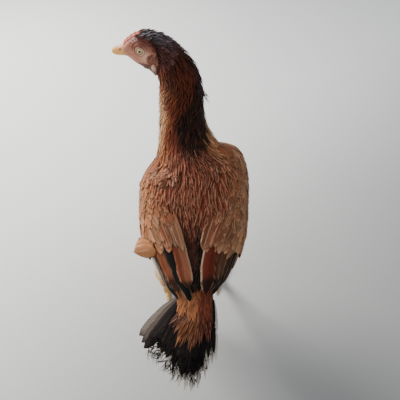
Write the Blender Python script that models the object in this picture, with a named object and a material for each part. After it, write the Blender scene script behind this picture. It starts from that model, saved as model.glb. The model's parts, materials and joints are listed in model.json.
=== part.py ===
"""A life-size Aseel hen, standing at ease with its head turned to its left.

Lengths are in metres, +Z is up, +Y points to the hen's front and +X to its right. The hen is modelled
about a body line that runs from the tail root through the trunk, neck and skull to the bill, and the
finished model is moved so that the middle of its outline stands over the origin, with its soles at Z = 0.
"""

import functools
import math

import bmesh
import bpy
import numpy as np
from mathutils import Vector

# Clearance between neighbouring pieces
GAP = 0.00035

# Body line, from the tail root to the bill base. Each row is a cross-section: x, y, z of its middle, the
# turn of its side axis away from +X in degrees, its half width, its height above the middle and its depth
# below it.
BODY_LINE = (
    (0.002, -0.112, 0.216, 0, 0.026, 0.017, 0.020),  # tail root
    (0.001, -0.090, 0.225, 0, 0.041, 0.026, 0.036),  # rump
    (0.000, -0.060, 0.236, 0, 0.056, 0.037, 0.060),  # vent
    (0.000, -0.020, 0.252, 0, 0.068, 0.050, 0.083),  # loins
    (0.000, 0.023, 0.274, 0, 0.074, 0.058, 0.095),  # ribs
    (0.000, 0.060, 0.301, 0, 0.072, 0.056, 0.093),  # breast
    (-0.010, 0.086, 0.334, 2, 0.0495, 0.046, 0.070),  # shoulders
    (-0.0160, 0.098, 0.366, 8, 0.0370, 0.0350, 0.047),  # neck base
    (-0.0180, 0.104, 0.396, 24, 0.0335, 0.0325, 0.0355),  # low neck
    (-0.0180, 0.107, 0.424, 42, 0.0315, 0.0325, 0.0315),  # middle of the neck
    (-0.0205, 0.109, 0.450, 60, 0.0290, 0.0310, 0.0295),  # high neck
    (-0.0330, 0.110, 0.472, 74, 0.0260, 0.0295, 0.0270),  # nape
    (-0.0480, 0.1115, 0.4860, 81, 0.0212, 0.0290, 0.0262),  # back of the skull
    (-0.0620, 0.1130, 0.4915, 82, 0.0195, 0.0276, 0.0246),  # ear
    (-0.0750, 0.1145, 0.4925, 82, 0.0172, 0.0230, 0.0190),  # eye
    (-0.0860, 0.1160, 0.4923, 82, 0.0122, 0.0146, 0.0132),  # lores
    (-0.0940, 0.1170, 0.4910, 82, 0.0090, 0.0080, 0.0084),  # bill base
)
TORSO_END = 6.6
NECK_END = 11.6
HEAD_END = float(len(BODY_LINE) - 1)
TORSO_SIDES, TORSO_ROWS = 26, 20
NECK_SIDES, NECK_ROWS = 24, 14
HEAD_SIDES, HEAD_ROWS = 24, 19

# Closed wing, at the first rows of the body line: half width, height above and depth below the middle of
# the wing's outer face, then the angles from the back's ridge of its inner and outer edge in degrees.
WING_LINE = (
    (0.037, 0.026, 0.032, 9, 62),
    (0.053, 0.036, 0.048, 11, 86),
    (0.071, 0.049, 0.068, 15, 104),
    (0.0835, 0.060, 0.088, 22, 114),
    (0.0880, 0.0660, 0.100, 31, 120),
    (0.0870, 0.0660, 0.098, 42, 121),
    (0.0800, 0.0590, 0.082, 59, 112),
    (0.0560, 0.0440, 0.058, 80, 104),
)
WING_FRONT = 6.25
WING_ROWS, WING_COLUMNS = 13, 8
# The wing's core ends here behind its free vanes, and lies this deep below them
CORE_END, CORE_DEPTH, CORE_EDGE = 2.05, 0.0034, 0.0016

# Tiers of a wing's vanes, shares counted from its inner to its outer edge: how many, the place along the
# body of their roots, of the first tip and of the last tip, share of the first and of the last vane at its
# root and at its tip, half width, height above the wing's face
SECONDARIES = (7, 3.15, 1.30, 0.60, 0.09, 0.91, 0.14, 0.86, 0.0098, 0.0)
PRIMARIES = (4, 2.45, 0.60, 0.14, 0.40, 0.84, 0.34, 0.78, 0.0080, -0.0042)
GREATER_COVERTS = (7, 4.25, 2.75, 2.20, 0.09, 0.91, 0.09, 0.91, 0.0098, 0.0019)

# Vanes: thickness, height of the ridge along the shaft, and how far each lies above the next
VANE_THICKNESS, SHAFT_RIDGE, VANE_STEP = 0.0009, 0.0003, 0.0016

# Skull, in a frame with its origin at the middle of the head level with the eyes. Its cheeks are squarer
# than an oval between these places along the body line.
EYE_STATION, EYE_BACK = 14.0, 0.0052
SQUARENESS, SQUARE_START, SQUARE_END = 0.09, (11.8, 13.2), (15.0, 16.2)
EYE_RADIUS = 0.0060
EYE_SIDE, EYE_UP = 0.0126, 0.0062
LID_MAJOR, LID_MINOR, LID_OUT = 0.0052, 0.0010, 0.0034
BROW_HEIGHT, BROW_UP, BROW_REACH = 0.0022, 0.0078, 0.0082
SOCKET_DEPTH, SOCKET_REACH = 0.0012, 0.0140
LORE_DEPTH, LORE_AHEAD, LORE_UP, LORE_REACH = 0.0010, 0.0160, 0.0010, 0.0100
EAR_BACK, EAR_DOWN, EAR_HEIGHT, EAR_REACH = 0.0182, 0.0042, 0.0012, 0.0090
LOBE_BACK, LOBE_DOWN, LOBE_OUT, LOBE_RADIUS = 0.0150, 0.0150, 0.0165, 0.0047
GAPE_LENGTH, GAPE_HEIGHT, GAPE_DEPTH, GAPE_DOWN = 0.0048, 0.0006, 0.0014, 0.0016

# Bill
BILL_LENGTH, BILL_DROP = 0.0205, 0.0032
LOWER_BILL_LENGTH = 0.0190
BILL_SIDES, BILL_ROWS = 11, 6
# The mouth line lies this much below the middle of the bill's base
MOUTH_DOWN = 0.0012
NOSTRIL_LENGTH, NOSTRIL_HEIGHT, NOSTRIL_DEPTH = 0.0024, 0.0010, 0.0016
NOSTRIL_AHEAD, NOSTRIL_UP = 0.0052, 0.0031

# Low pea comb: three rows of small bulbs along the forehead
COMB_START, COMB_END = 13.8, 15.64
COMB_BULBS = 6
COMB_ROW_SPREAD, COMB_ROW_DROP = 0.0031, 0.0008
COMB_MIDDLE_RADIUS, COMB_SIDE_RADIUS = 0.0031, 0.0023

# Tail
TAIL_SLOPE = math.radians(40)
TAIL_FAN = (
    # from the right edge to the left: place of the quill's root, its heading in degrees, its length
    (0.026, -2, 0.092),
    (0.0165, 5, 0.126),
    (0.009, 12, 0.127),
    (0.001, 21, 0.119),
    (-0.009, 34, 0.107),
    (-0.020, 46, 0.088),
)

TAIL_VANES = 12
TAIL_TOP_VANE = 4.0
TAIL_HALF_WIDTH = 0.0105
TAIL_CORE_LENGTH = 0.034
UPPER_COVERTS, UPPER_COVERT_SHARE = 7, 0.62
UNDER_COVERTS, UNDER_COVERT_SHARE = 4, 0.46

# Cape of hackle feathers hanging from the neck over the back, shoulders and breast
CAPE_VANES, CAPE_ROOT = 18, 7.25
CAPE_HALF_WIDTH = 0.0080
CAPE_HEIGHT, CAPE_SUNK, CAPE_STEP = 0.0017, 0.0045, 0.0013

# Hip, hock and foot of each leg, the hen's right one a little forward; hand is 1 on its right and -1 on
# its left
HIP = {-1: Vector((-0.038, 0.028, 0.216)), 1: Vector((0.037, 0.036, 0.214))}
HOCK = {-1: Vector((-0.052, -0.013, 0.112)), 1: Vector((0.048, 0.005, 0.112))}
FOOT = {-1: Vector((-0.057, 0.031, 0.0)), 1: Vector((0.048, 0.052, 0.0))}
THIGH_ROWS = (
    # share of the way from hip to hock, half width, half depth
    (-0.20, 0.011, 0.020),
    (-0.13, 0.0215, 0.034),
    (0.00, 0.028, 0.044),
    (0.28, 0.031, 0.043),
    (0.52, 0.027, 0.034),
    (0.76, 0.0185, 0.0215),
    (0.92, 0.0125, 0.0140),
    (1.00, 0.0100, 0.0110),
)
THIGH_SIDES, SHANK_SIDES, TOE_SIDES = 14, 12, 8
SHANK_WIDE, SHANK_DEEP = 0.0070, 0.0080
SHANK_SCUTES = 11
SCUTE_STEP = 0.0007
SHANK_FOOT_HEIGHT = 0.020
# Toes: heading from the hen's front in degrees, positive to the outer side, length, root radius
TOES = (
    ("hind", -172, 0.026, 0.0046),
    ("inner", -27, 0.043, 0.0052),
    ("middle", 3, 0.057, 0.0056),
    ("outer", 34, 0.045, 0.0052),
)
CLAW_LENGTH = 0.0115

COLOURS = {
    "cinnamon plumage": ((0.40, 0.15, 0.05), 0.7),
    "dark hackle": ((0.07, 0.025, 0.012), 0.6),
    "black quills": ((0.015, 0.013, 0.013), 0.5),
    "bare skin": ((0.55, 0.20, 0.15), 0.55),
    "comb": ((0.62, 0.22, 0.18), 0.5),
    "horn": ((0.72, 0.48, 0.20), 0.4),
    "eye": ((0.75, 0.62, 0.38), 0.15),
    "scaled skin": ((0.65, 0.47, 0.16), 0.5),
}


def clear_scene():
    """Removes what the opening scene holds."""
    for obj in list(bpy.data.objects):
        bpy.data.objects.remove(obj)


@functools.cache
def paint(name):
    """The Principled material of this name."""
    (red, green, blue), roughness = COLOURS[name]
    material = bpy.data.materials.new(name)
    material.use_nodes = True
    shader = material.node_tree.nodes["Principled BSDF"]
    shader.inputs["Base Color"].default_value = (red, green, blue, 1)
    shader.inputs["Roughness"].default_value = roughness
    shader.inputs["Metallic"].default_value = 0.0
    return material


def make(name, points, faces, finish):
    """An object from points and faces, smooth where its faces meet gently."""
    mesh = bpy.data.meshes.new(name)
    mesh.from_pydata([tuple(p) for p in points], [], faces)
    mesh.validate()
    obj = bpy.data.objects.new(name, mesh)
    bpy.context.scene.collection.objects.link(obj)
    mesh.materials.append(paint(finish))
    mesh.shade_smooth()
    return obj


def loft(name, rings, finish):
    """A closed body through rings of equal count, each with its points in the same turn, capped by fans."""
    count = len(rings[0])
    points = [p for ring in rings for p in ring]
    points += [sum(rings[0], Vector()) / count, sum(rings[-1], Vector()) / count]
    first_hub, last_hub = len(points) - 2, len(points) - 1
    faces = []
    for row in range(len(rings) - 1):
        for i in range(count):
            j = (i + 1) % count
            a, b = row * count + i, row * count + j
            faces += [(a, b, b + count), (a, b + count, a + count)]
    last = (len(rings) - 1) * count
    for i in range(count):
        j = (i + 1) % count
        faces += [(j, i, first_hub), (last + i, last + j, last_hub)]
    return outward(make(name, points, faces, finish))


def plate(name, top, bottom, finish):
    """A thin closed body between two grids of points, split into triangles alike on both faces."""
    rows, columns = len(top), len(top[0])
    points = [p for row in top for p in row] + [p for row in bottom for p in row]
    under = rows * columns
    faces = []
    for r in range(rows - 1):
        for c in range(columns - 1):
            a = r * columns + c
            b, d, e = a + 1, a + columns, a + columns + 1
            faces += [(a, b, e), (a, e, d)]
            faces += [(under + a, under + e, under + b), (under + a, under + d, under + e)]
    rim = [(0, c) for c in range(columns)] + [(r, columns - 1) for r in range(1, rows)]
    rim += [(rows - 1, c) for c in range(columns - 2, -1, -1)] + [(r, 0) for r in range(rows - 2, 0, -1)]
    for k, (r, c) in enumerate(rim):
        s, d = rim[(k + 1) % len(rim)]
        a, b = r * columns + c, s * columns + d
        faces += [(a, under + a, under + b), (a, under + b, b)]
    return outward(make(name, points, faces, finish))


def outward(obj):
    """Turns the faces of a closed mesh outwards."""
    work = bmesh.new()
    work.from_mesh(obj.data)
    bmesh.ops.recalc_face_normals(work, faces=work.faces)
    if work.calc_volume(signed=True) < 0:
        bmesh.ops.reverse_faces(work, faces=work.faces)
    work.to_mesh(obj.data)
    work.free()
    return obj


def bake_modifiers(obj):
    """Gives the object the mesh that its modifiers make, and drops them."""
    graph = bpy.context.evaluated_depsgraph_get()
    mesh = bpy.data.meshes.new_from_object(obj.evaluated_get(graph))
    obj.modifiers.clear()
    obj.data = mesh


def keep_largest(obj):
    """Keeps the closed surface that holds the most, and drops scraps and sealed hollows."""
    work = bmesh.new()
    work.from_mesh(obj.data)
    work.faces.ensure_lookup_table()
    left, shells = set(work.faces), []
    while left:
        shell, edge = set(), [left.pop()]
        while edge:
            face = edge.pop()
            shell.add(face)
            for side in face.edges:
                fresh = [f for f in side.link_faces if f in left]
                left.difference_update(fresh)
                edge += fresh
        shells.append(shell)

    def fans(loops):
        """The triangles of a face, as threes of its corners."""
        return [(loops[0], loops[k], loops[k + 1]) for k in range(1, len(loops) - 1)]

    def held(shell):
        """Six times the volume inside a shell."""
        return sum(
            a.vert.co.dot(b.vert.co.cross(c.vert.co))
            for face in shell
            for a, b, c in fans(face.loops)
        )

    shells.sort(key=held)
    dropped = [face for shell in shells[:-1] for face in shell]
    bmesh.ops.delete(work, geom=dropped, context="FACES")
    bmesh.ops.triangulate(work, faces=work.faces)
    work.to_mesh(obj.data)
    work.free()


def fuse(base, pieces):
    """Joins closed pieces to the base in one union, and removes them."""
    group = bpy.data.collections.new(base.name + " pieces")
    bpy.context.scene.collection.children.link(group)
    for piece in pieces:
        bpy.context.scene.collection.objects.unlink(piece)
        group.objects.link(piece)
    modifier = base.modifiers.new("join", "BOOLEAN")
    modifier.operation, modifier.solver = "UNION", "MANIFOLD"
    modifier.operand_type, modifier.collection = "COLLECTION", group
    bake_modifiers(base)
    for piece in pieces:
        bpy.data.objects.remove(piece)
    bpy.data.collections.remove(group)
    keep_largest(base)
    return base


def cut(obj, *tools):
    """Takes the closed tools away from the object, and removes them."""
    for tool in tools:
        modifier = obj.modifiers.new("cut", "BOOLEAN")
        modifier.operation, modifier.solver, modifier.object = "DIFFERENCE", "MANIFOLD", tool
        bake_modifiers(obj)
        bpy.data.objects.remove(tool)
    keep_largest(obj)
    return obj


def flatten_soles(obj):
    """Cuts a foot off level with the ground and closes it with a flat."""
    work = bmesh.new()
    work.from_mesh(obj.data)
    whole = list(work.verts) + list(work.edges) + list(work.faces)
    bmesh.ops.bisect_plane(work, geom=whole, plane_co=(0, 0, 0), plane_no=(0, 0, 1), clear_inner=True)
    bmesh.ops.holes_fill(work, edges=[e for e in work.edges if e.is_boundary])
    bmesh.ops.triangulate(work, faces=work.faces)
    work.to_mesh(obj.data)
    work.free()
    return outward(obj)


def between(table, t):
    """Row of a table of stations at the fractional index t, on a Catmull-Rom curve."""
    rows = np.asarray(table, float)
    last = len(rows) - 1
    i = min(max(int(t), 0), last - 1)
    f = t - i
    b, c = rows[i], rows[i + 1]
    a = rows[i - 1] if i > 0 else 2 * b - c
    d = rows[i + 2] if i + 2 <= last else 2 * c - b
    return 0.5 * (2 * b + (c - a) * f + (2 * a - 5 * b + 4 * c - d) * f**2 + (3 * b - a - 3 * c + d) * f**3)


def mix(a, b, share):
    """The value that lies this share of the way from a to b."""
    return a + (b - a) * share


def ease(low, high, value):
    """0 below low, 1 above high, and smooth between them."""
    x = min(max((value - low) / (high - low), 0.0), 1.0)
    return x * x * (3 - 2 * x)


def bump(distance, reach):
    """1 at the middle of a rounded bump, falling to almost 0 at its reach."""
    return math.exp(-((2.0 * distance / reach) ** 2))


@functools.cache
def section(t):
    """Middle, side axis, upward axis and forward axis of the body line's cross-section at t."""
    step = 0.01
    row = between(BODY_LINE, t)
    ahead = Vector(between(BODY_LINE, t + step)[:3]) - Vector(between(BODY_LINE, t - step)[:3])
    forward = ahead.normalized()
    turn = math.radians(row[3])
    side = Vector((math.cos(turn), math.sin(turn), 0))
    side = (side - forward * side.dot(forward)).normalized()
    return Vector(row[:3]), side, side.cross(forward), forward


def ellipse_point(t, angle, half, above, below):
    """Point of the cross-section at t, at an angle from the ridge of the back towards the hen's right."""
    middle, side, up, _ = section(t)
    tall = above if math.cos(angle) > 0 else below
    cheeks = ease(*SQUARE_START, t) * (1 - ease(*SQUARE_END, t))
    square = 1 + SQUARENESS * cheeks * math.sin(2 * angle) ** 2
    return middle + (side * half * math.sin(angle) + up * tall * math.cos(angle)) * square


def body_point(t, angle, grow=0.0):
    """Point of the plumage's outline on the trunk, neck or head."""
    half, above, below = between(BODY_LINE, t)[4:7]
    return ellipse_point(t, angle, half + grow, above + grow, below + grow)


def wing_point(t, angle):
    """Point of the closed wing's outer face."""
    half, above, below = between(WING_LINE, t)[:3]
    return ellipse_point(t, angle, half, above, below)


def body_ring(t, sides, grow=0.0, shift=0.0):
    """Ring of points round the body at t, moved along the body line by shift."""
    forward = section(t)[3]
    turns = [2 * math.pi * k / sides for k in range(sides)]
    return [body_point(t, a, grow) + forward * shift for a in turns]


def steps(first, last, count):
    """Evenly spaced values, both ends included."""
    return [mix(first, last, k / (count - 1)) for k in range(count)]


def width_profile(share):
    """Width of a feather at a share of its length, as a part of its greatest width."""
    return (0.42 + 0.58 * ease(0.0, 0.45, share)) * (1 - ease(0.55, 1.12, share)) ** 0.75


def vane(lay, start, end, half_width, sunk=0.004, raised=0.0, tilt=0.0, rows=5, pointed=False, settle=0.38):
    """One feather on a surface, its root sunk below it.

    lay(u, v, high) gives a point high above the surface; start and end are the places (u, v) on it of the
    root and the tip. tilt raises the side of larger v by so much for each unit of v, and settle is the share
    of its length at which the feather has risen from its root to its height.
    """
    top, bottom = [], []
    for share in (1 - (1 - s) ** 1.25 for s in steps(0, 1, rows)):
        u, v = mix(start[0], end[0], share), mix(start[1], end[1], share)
        spread = (lay(u, v + 0.02, 0) - lay(u, v - 0.02, 0)).length / 0.04
        wide = half_width * width_profile(share * (1.0 if pointed else 0.93)) / spread
        height = raised - sunk * (1 - ease(0.0, settle, share))
        thick = VANE_THICKNESS * mix(1.15, 0.70, share)
        across = ((-wide, -tilt * wide), (0.0, SHAFT_RIDGE), (wide, tilt * wide))
        top.append([lay(u, v + dv, height + rise) for dv, rise in across])
        bottom.append([lay(u, v + dv, height + rise - thick) for dv, rise in across])
    return plate("vane", top, bottom, "black quills")


def torso():
    """Trunk from the tail root to the base of the neck."""
    rings = [body_ring(t, TORSO_SIDES) for t in steps(0, TORSO_END, TORSO_ROWS)]
    return loft("torso", rings, "cinnamon plumage")


def grown_torso():
    """The trunk with the clearance added, to cut its neighbours with."""
    grow = 1.5 * GAP
    rings = [body_ring(0, TORSO_SIDES, grow, -GAP)]
    rings += [body_ring(t, TORSO_SIDES, grow) for t in steps(0, TORSO_END, TORSO_ROWS)[1:-1]]
    rings += [body_ring(TORSO_END, TORSO_SIDES, grow, GAP)]
    return loft("torso room", rings, "cinnamon plumage")


def cape_tip(angle):
    """How far down the body the cape reaches, clear of the shoulders at the sides."""
    back = bump(angle, math.radians(95))
    front = bump(math.pi - abs(angle), math.radians(85))
    return TORSO_END - 0.22 - 0.95 * back - 0.45 * front


def cape():
    """Hackle feathers rooted in the neck base, those of the back's ridge on top."""
    made = []
    for k in range(CAPE_VANES):
        angle = math.pi * (2 * (k + 0.5) / CAPE_VANES - 1)
        side = 1 if angle > 0 else -1
        spacing = 2 * math.pi / CAPE_VANES
        start, end = (CAPE_ROOT, angle), (cape_tip(angle), angle)
        tilt = -side * CAPE_STEP / spacing
        height = CAPE_HEIGHT + VANE_THICKNESS
        made.append(vane(body_point, start, end, CAPE_HALF_WIDTH, CAPE_SUNK, height, tilt, 4, True))
    return made


def neck():
    """Neck from its base to the back of the skull, with the cape."""
    rings = [body_ring(TORSO_END, NECK_SIDES, shift=GAP)]
    rings += [body_ring(t, NECK_SIDES) for t in steps(TORSO_END, NECK_END, NECK_ROWS)[1:-1]]
    rings += [body_ring(NECK_END, NECK_SIDES)]
    return fuse(loft("neck", rings, "dark hackle"), cape())


def head_frame():
    """Middle of the head level with the eyes, and its forward, right and up axes."""
    middle, side, up, forward = section(EYE_STATION)
    return middle - forward * EYE_BACK, forward, side, up


def head_relief(point):
    """The point with the brows, eye sockets and hollow lores added."""
    middle, forward, side, up = head_frame()
    local = point - middle
    ahead, out, high = local.dot(forward), local.dot(side), local.dot(up)
    outward_sign = 1 if out > 0 else -1
    if abs(out) < 0.004:
        return point
    brow = BROW_HEIGHT * bump(math.hypot(ahead / 1.5, high - EYE_UP - BROW_UP), BROW_REACH)
    socket = SOCKET_DEPTH * bump(math.hypot(ahead, high - EYE_UP), SOCKET_REACH)
    lore = LORE_DEPTH * bump(math.hypot(ahead - LORE_AHEAD, high - LORE_UP), LORE_REACH)
    ear = EAR_HEIGHT * bump(math.hypot(ahead + EAR_BACK, high + EAR_DOWN), EAR_REACH)
    return point + side * outward_sign * (brow + ear - socket - lore)


def head_core(grow=0.0):
    """The skull and throat as a plain loft, without lids or eyes."""
    ts = steps(NECK_END, HEAD_END, HEAD_ROWS)
    rings = [body_ring(ts[0], HEAD_SIDES, grow, GAP)]
    rings += [body_ring(t, HEAD_SIDES, grow) for t in ts[1:-1]]
    rings += [body_ring(HEAD_END, HEAD_SIDES, grow, grow)]
    rings = [[head_relief(p) for p in ring] for ring in rings]
    return loft("head", rings, "bare skin")


def eye_middle(hand):
    """Middle of an eyeball; hand is 1 on the hen's right and -1 on its left."""
    middle, _, side, up = head_frame()
    return middle + side * hand * EYE_SIDE + up * EYE_UP


def ball(
    name, middle, radius, finish, rows=10, sides=14, axis=Vector((0, 0, 1)), stretch=(1, 1, 1), across=None
):
    """A sphere, or an ellipsoid: stretch gives its size along across, square to both, and along its axis."""
    z = axis.normalized()
    x = (across or z.orthogonal()).normalized()
    y = z.cross(x)
    rings = []
    for row in range(1, rows):
        polar = math.pi * row / rows
        ring = []
        for k in range(sides):
            turn = 2 * math.pi * k / sides
            flat = math.sin(polar)
            offset = x * stretch[0] * flat * math.cos(turn) + y * stretch[1] * flat * math.sin(turn)
            ring.append(middle + (offset + z * stretch[2] * math.cos(polar)) * radius)
        rings.append(ring)
    obj = loft(name, rings, finish)
    tips = (middle + z * stretch[2] * radius, middle - z * stretch[2] * radius)
    for vertex, tip in zip(list(obj.data.vertices)[-2:], tips):
        vertex.co = tip
    return obj


def ring_tube(name, middle, axis, major, minor, finish, sides=16, tube_sides=5):
    """A round ring, such as the rim of an eyelid."""
    z = axis.normalized()
    x = z.orthogonal().normalized()
    y = z.cross(x)
    points, faces = [], []
    for i in range(sides):
        turn = 2 * math.pi * i / sides
        out = x * math.cos(turn) + y * math.sin(turn)
        for k in range(tube_sides):
            tilt = 2 * math.pi * k / tube_sides
            points.append(middle + out * (major + minor * math.cos(tilt)) + z * minor * math.sin(tilt))
    for i in range(sides):
        for k in range(tube_sides):
            a, b = i * tube_sides + k, i * tube_sides + (k + 1) % tube_sides
            c, d = (b + tube_sides) % len(points), (a + tube_sides) % len(points)
            faces += [(a, b, c), (a, c, d)]
    return outward(make(name, points, faces, finish))


def head():
    """Skull with its brows, the rims of the eyelids and the sockets of the eyes."""
    _, _, side, _ = head_frame()
    core = head_core()
    lids = []
    for hand in (-1, 1):
        rim = eye_middle(hand) + side * hand * LID_OUT
        lids.append(ring_tube("lid", rim, side, LID_MAJOR, LID_MINOR, "bare skin"))
    fuse(core, lids)
    room = EYE_RADIUS + 1.6 * GAP
    rooms = [ball("room", eye_middle(hand), room, "eye", 10, 14, side) for hand in (-1, 1)]
    return cut(core, *rooms, *gapes())


def gapes():
    """Cutters for the two corners of the mouth, which run back from the bill below the lores."""
    middle, side, up, forward = section(HEAD_END - 0.35)
    half = between(BODY_LINE, HEAD_END - 0.35)[4]
    shape = (GAPE_DEPTH / GAPE_LENGTH, GAPE_HEIGHT / GAPE_LENGTH, 1)
    corners = [middle + side * hand * half - up * GAPE_DOWN for hand in (-1, 1)]
    return [ball("gape", place, GAPE_LENGTH, "bare skin", 6, 6, forward, shape, side) for place in corners]


def eyes():
    """The two eyeballs."""
    side = head_frame()[2]
    return [
        ball(name, eye_middle(hand), EYE_RADIUS, "eye", 9, 14, side)
        for name, hand in (("eye_left", -1), ("eye_right", 1))
    ]


def ear_lobes():
    """The small flat lobes below the ears."""
    middle, forward, side, up = head_frame()
    made = []
    for name, hand in (("ear_lobe_left", -1), ("ear_lobe_right", 1)):
        place = middle - forward * LOBE_BACK - up * LOBE_DOWN + side * hand * LOBE_OUT
        lobe = ball(name, place, LOBE_RADIUS, "bare skin", 8, 10, up, (0.9, 0.55, 1.15), forward)
        made.append(cut(lobe, head_core(GAP)))
    return made


def comb():
    """Low pea comb, a middle row of bulbs with a lower row at each side."""
    middle, forward, side, up = head_frame()
    bulbs = []
    for row, radius in ((0, COMB_MIDDLE_RADIUS), (-1, COMB_SIDE_RADIUS), (1, COMB_SIDE_RADIUS)):
        for k in range(COMB_BULBS):
            share = k / (COMB_BULBS - 1)
            t = mix(COMB_START, COMB_END, share)
            size = radius * (0.80 + 0.28 * math.sin(math.pi * share))
            top = body_point(t, 0) + side * row * COMB_ROW_SPREAD - up * COMB_ROW_DROP * abs(row)
            bulbs.append(ball("bulb", top, size, "comb", 4, 6, section(t)[2]))
    base = bulbs.pop(2)
    base.name = "comb"
    fuse(base, bulbs)
    return cut(base, head_core(GAP))


def mouth_drop(distance):
    """How far the mouth line has curved down at this distance from the base of the bill."""
    hook = max(distance - LOWER_BILL_LENGTH, 0.0) / (BILL_LENGTH - LOWER_BILL_LENGTH)
    return BILL_DROP * (0.45 * (distance / BILL_LENGTH) ** 1.8 + 0.45 * hook**1.3)


def bill_ring(distance, upper):
    """Ring round one half of the bill, at a distance from its base."""
    middle, side, up, forward = section(HEAD_END)
    half, above, below = between(BODY_LINE, HEAD_END)[4:7]
    share = distance / (BILL_LENGTH if upper else LOWER_BILL_LENGTH)
    taper = (1 - 0.30 * share) * max(1 - share**5, 0.0) ** 0.45
    centre = middle + forward * (GAP + distance) - up * (mouth_drop(distance) + MOUTH_DOWN)
    tall = (above + MOUTH_DOWN if upper else below - MOUTH_DOWN) * (0.06 + 0.94 * taper)
    wide = half * (0.05 + 0.95 * taper * (1 - 0.35 * share)) * (1.0 if upper else 0.95)
    mouth = 0.55 * GAP
    ring = []
    for k in range(BILL_SIDES):
        angle = math.pi * k / (BILL_SIDES - 1)
        height = tall * math.sin(angle) ** 0.9 if 0 < k < BILL_SIDES - 1 else 0.0
        rise = mouth + height
        ring.append(centre + side * wide * math.cos(angle) + up * (rise if upper else -rise))
    return ring


def bill():
    """Upper and lower halves of the bill, with the nostrils in the upper half."""
    middle, side, up, forward = section(HEAD_END)
    halves = []
    shared = steps(0, 0.97 * LOWER_BILL_LENGTH, BILL_ROWS)
    hook = steps(LOWER_BILL_LENGTH + 0.0002, 0.97 * BILL_LENGTH, 3)
    for name, upper in (("beak_upper", True), ("beak_lower", False)):
        rings = [bill_ring(distance, upper) for distance in (shared + hook if upper else shared)]
        halves.append(loft(name, rings, "horn"))
    half = between(BODY_LINE, HEAD_END)[4]
    pits = []
    for hand in (-1, 1):
        place = middle + forward * NOSTRIL_AHEAD + up * NOSTRIL_UP + side * hand * (half * 0.80)
        shape = (NOSTRIL_DEPTH / NOSTRIL_LENGTH, NOSTRIL_HEIGHT / NOSTRIL_LENGTH, 1)
        pits.append(ball("pit", place, NOSTRIL_LENGTH, "horn", 6, 6, forward, shape, side))
    cut(halves[0], *pits)
    return halves


def wing_edges(t):
    """Angles of the inner and outer edge of the closed wing at t."""
    inner, outer = between(WING_LINE, t)[3:5]
    return math.radians(inner), math.radians(outer)


def wing_face(hand):
    """The outer face of a closed wing as a function of place along the body, share across and height."""

    def lay(t, share, high):
        inner, outer = wing_edges(t)
        front = math.sqrt(max(1 - ease(5.2, WING_FRONT + 0.05, t) ** 2, 0.0))
        angle = hand * mix(inner, outer, share)
        rise = math.sqrt(max(1 - abs(2 * share - 1) ** 4, 0.0)) * front
        skin, face = body_point(t, angle, GAP), wing_point(t, angle)
        normal = (face - section(t)[0]).normalized()
        return skin.lerp(face, 0.35 + 0.65 * rise) + normal * high

    return lay


def wing_core(name, hand):
    """The body of a closed wing, below its vanes."""
    lay = wing_face(hand)
    top, bottom = [], []
    for t in steps(CORE_END, WING_FRONT, WING_ROWS):
        depth = CORE_DEPTH * (1 - ease(3.9, 4.7, t))
        above, below = [], []
        for c in range(WING_COLUMNS):
            share = c / (WING_COLUMNS - 1)
            inner, outer = wing_edges(t)
            crest = lay(t, share, -depth)
            thin = lay(t, share, -depth - CORE_EDGE)
            deep = body_point(t, hand * mix(inner, outer, share), -0.004)
            above.append(crest)
            below.append(thin.lerp(deep, ease(1.6, 2.8, t)))
        top.append(above)
        bottom.append(below)
    return plate(name, top, bottom, "cinnamon plumage")


def tier(lay, sizes):
    """One tier of a wing's vanes, the innermost on top."""
    count, root, first_tip, last_tip, first, last, first_end, last_end, half_width, raised = sizes
    tilt = VANE_STEP / ((last - first) / (count - 1))
    made = []
    for k in range(count):
        share = k / (count - 1)
        start = (root, mix(first, last, share))
        end = (mix(first_tip, last_tip, share), mix(first_end, last_end, share))
        made.append(vane(lay, start, end, half_width, raised=raised, tilt=tilt))
    return made


def wing(name, hand):
    """A closed wing: its core, and tiers of primaries, secondaries and greater coverts."""
    lay = wing_face(hand)
    vanes = [piece for sizes in (PRIMARIES, SECONDARIES, GREATER_COVERTS) for piece in tier(lay, sizes)]
    return cut(fuse(wing_core(name, hand), vanes), grown_torso())


def tail_axes():
    """Middle of the tail root, and the tail's backward, right and up axes."""
    root = section(0)[0]
    back = Vector((0, -math.cos(TAIL_SLOPE), -math.sin(TAIL_SLOPE)))
    right = Vector((1, 0, 0))
    return root, back, right, back.cross(right)


def tail_core():
    """The short stump that the tail's vanes grow from."""
    root, back, right, up = tail_axes()
    side, high, forward = section(0)[1:4]
    half, above, below = between(BODY_LINE, 0)[4:7]
    rings = []
    for share in steps(0, 1, 6):
        shrink = 1 - 0.86 * share**1.2
        middle = root - forward * GAP + back * TAIL_CORE_LENGTH * share - right * 0.006 * share
        ring = []
        for k in range(16):
            angle = 2 * math.pi * k / 16
            tall = (above if math.cos(angle) > 0 else below) * shrink
            across = side * half * shrink**0.3 * math.sin(angle)
            ring.append(middle + across + high.lerp(up, share) * tall * math.cos(angle))
        rings.append(ring)
    return loft("tail", rings, "cinnamon plumage")


def tail_face(u, v, high):
    """Point on the tail's fan: u along a quill from its root in shares of its length, v the quill's number."""
    root, back, right, up = tail_axes()
    place, heading, length = between(TAIL_FAN, v * (len(TAIL_FAN) - 1) / (TAIL_VANES - 1))
    fan = math.radians(heading)
    return root + right * place + (back * math.cos(fan) - right * math.sin(fan)) * length * u + up * high


def tail_level(v):
    """Height of the vane at quill v: the fan falls away to both sides of the quill that lies on top."""
    return -VANE_STEP * (abs(v - TAIL_TOP_VANE) + (1 if v < TAIL_TOP_VANE else 0))


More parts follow.
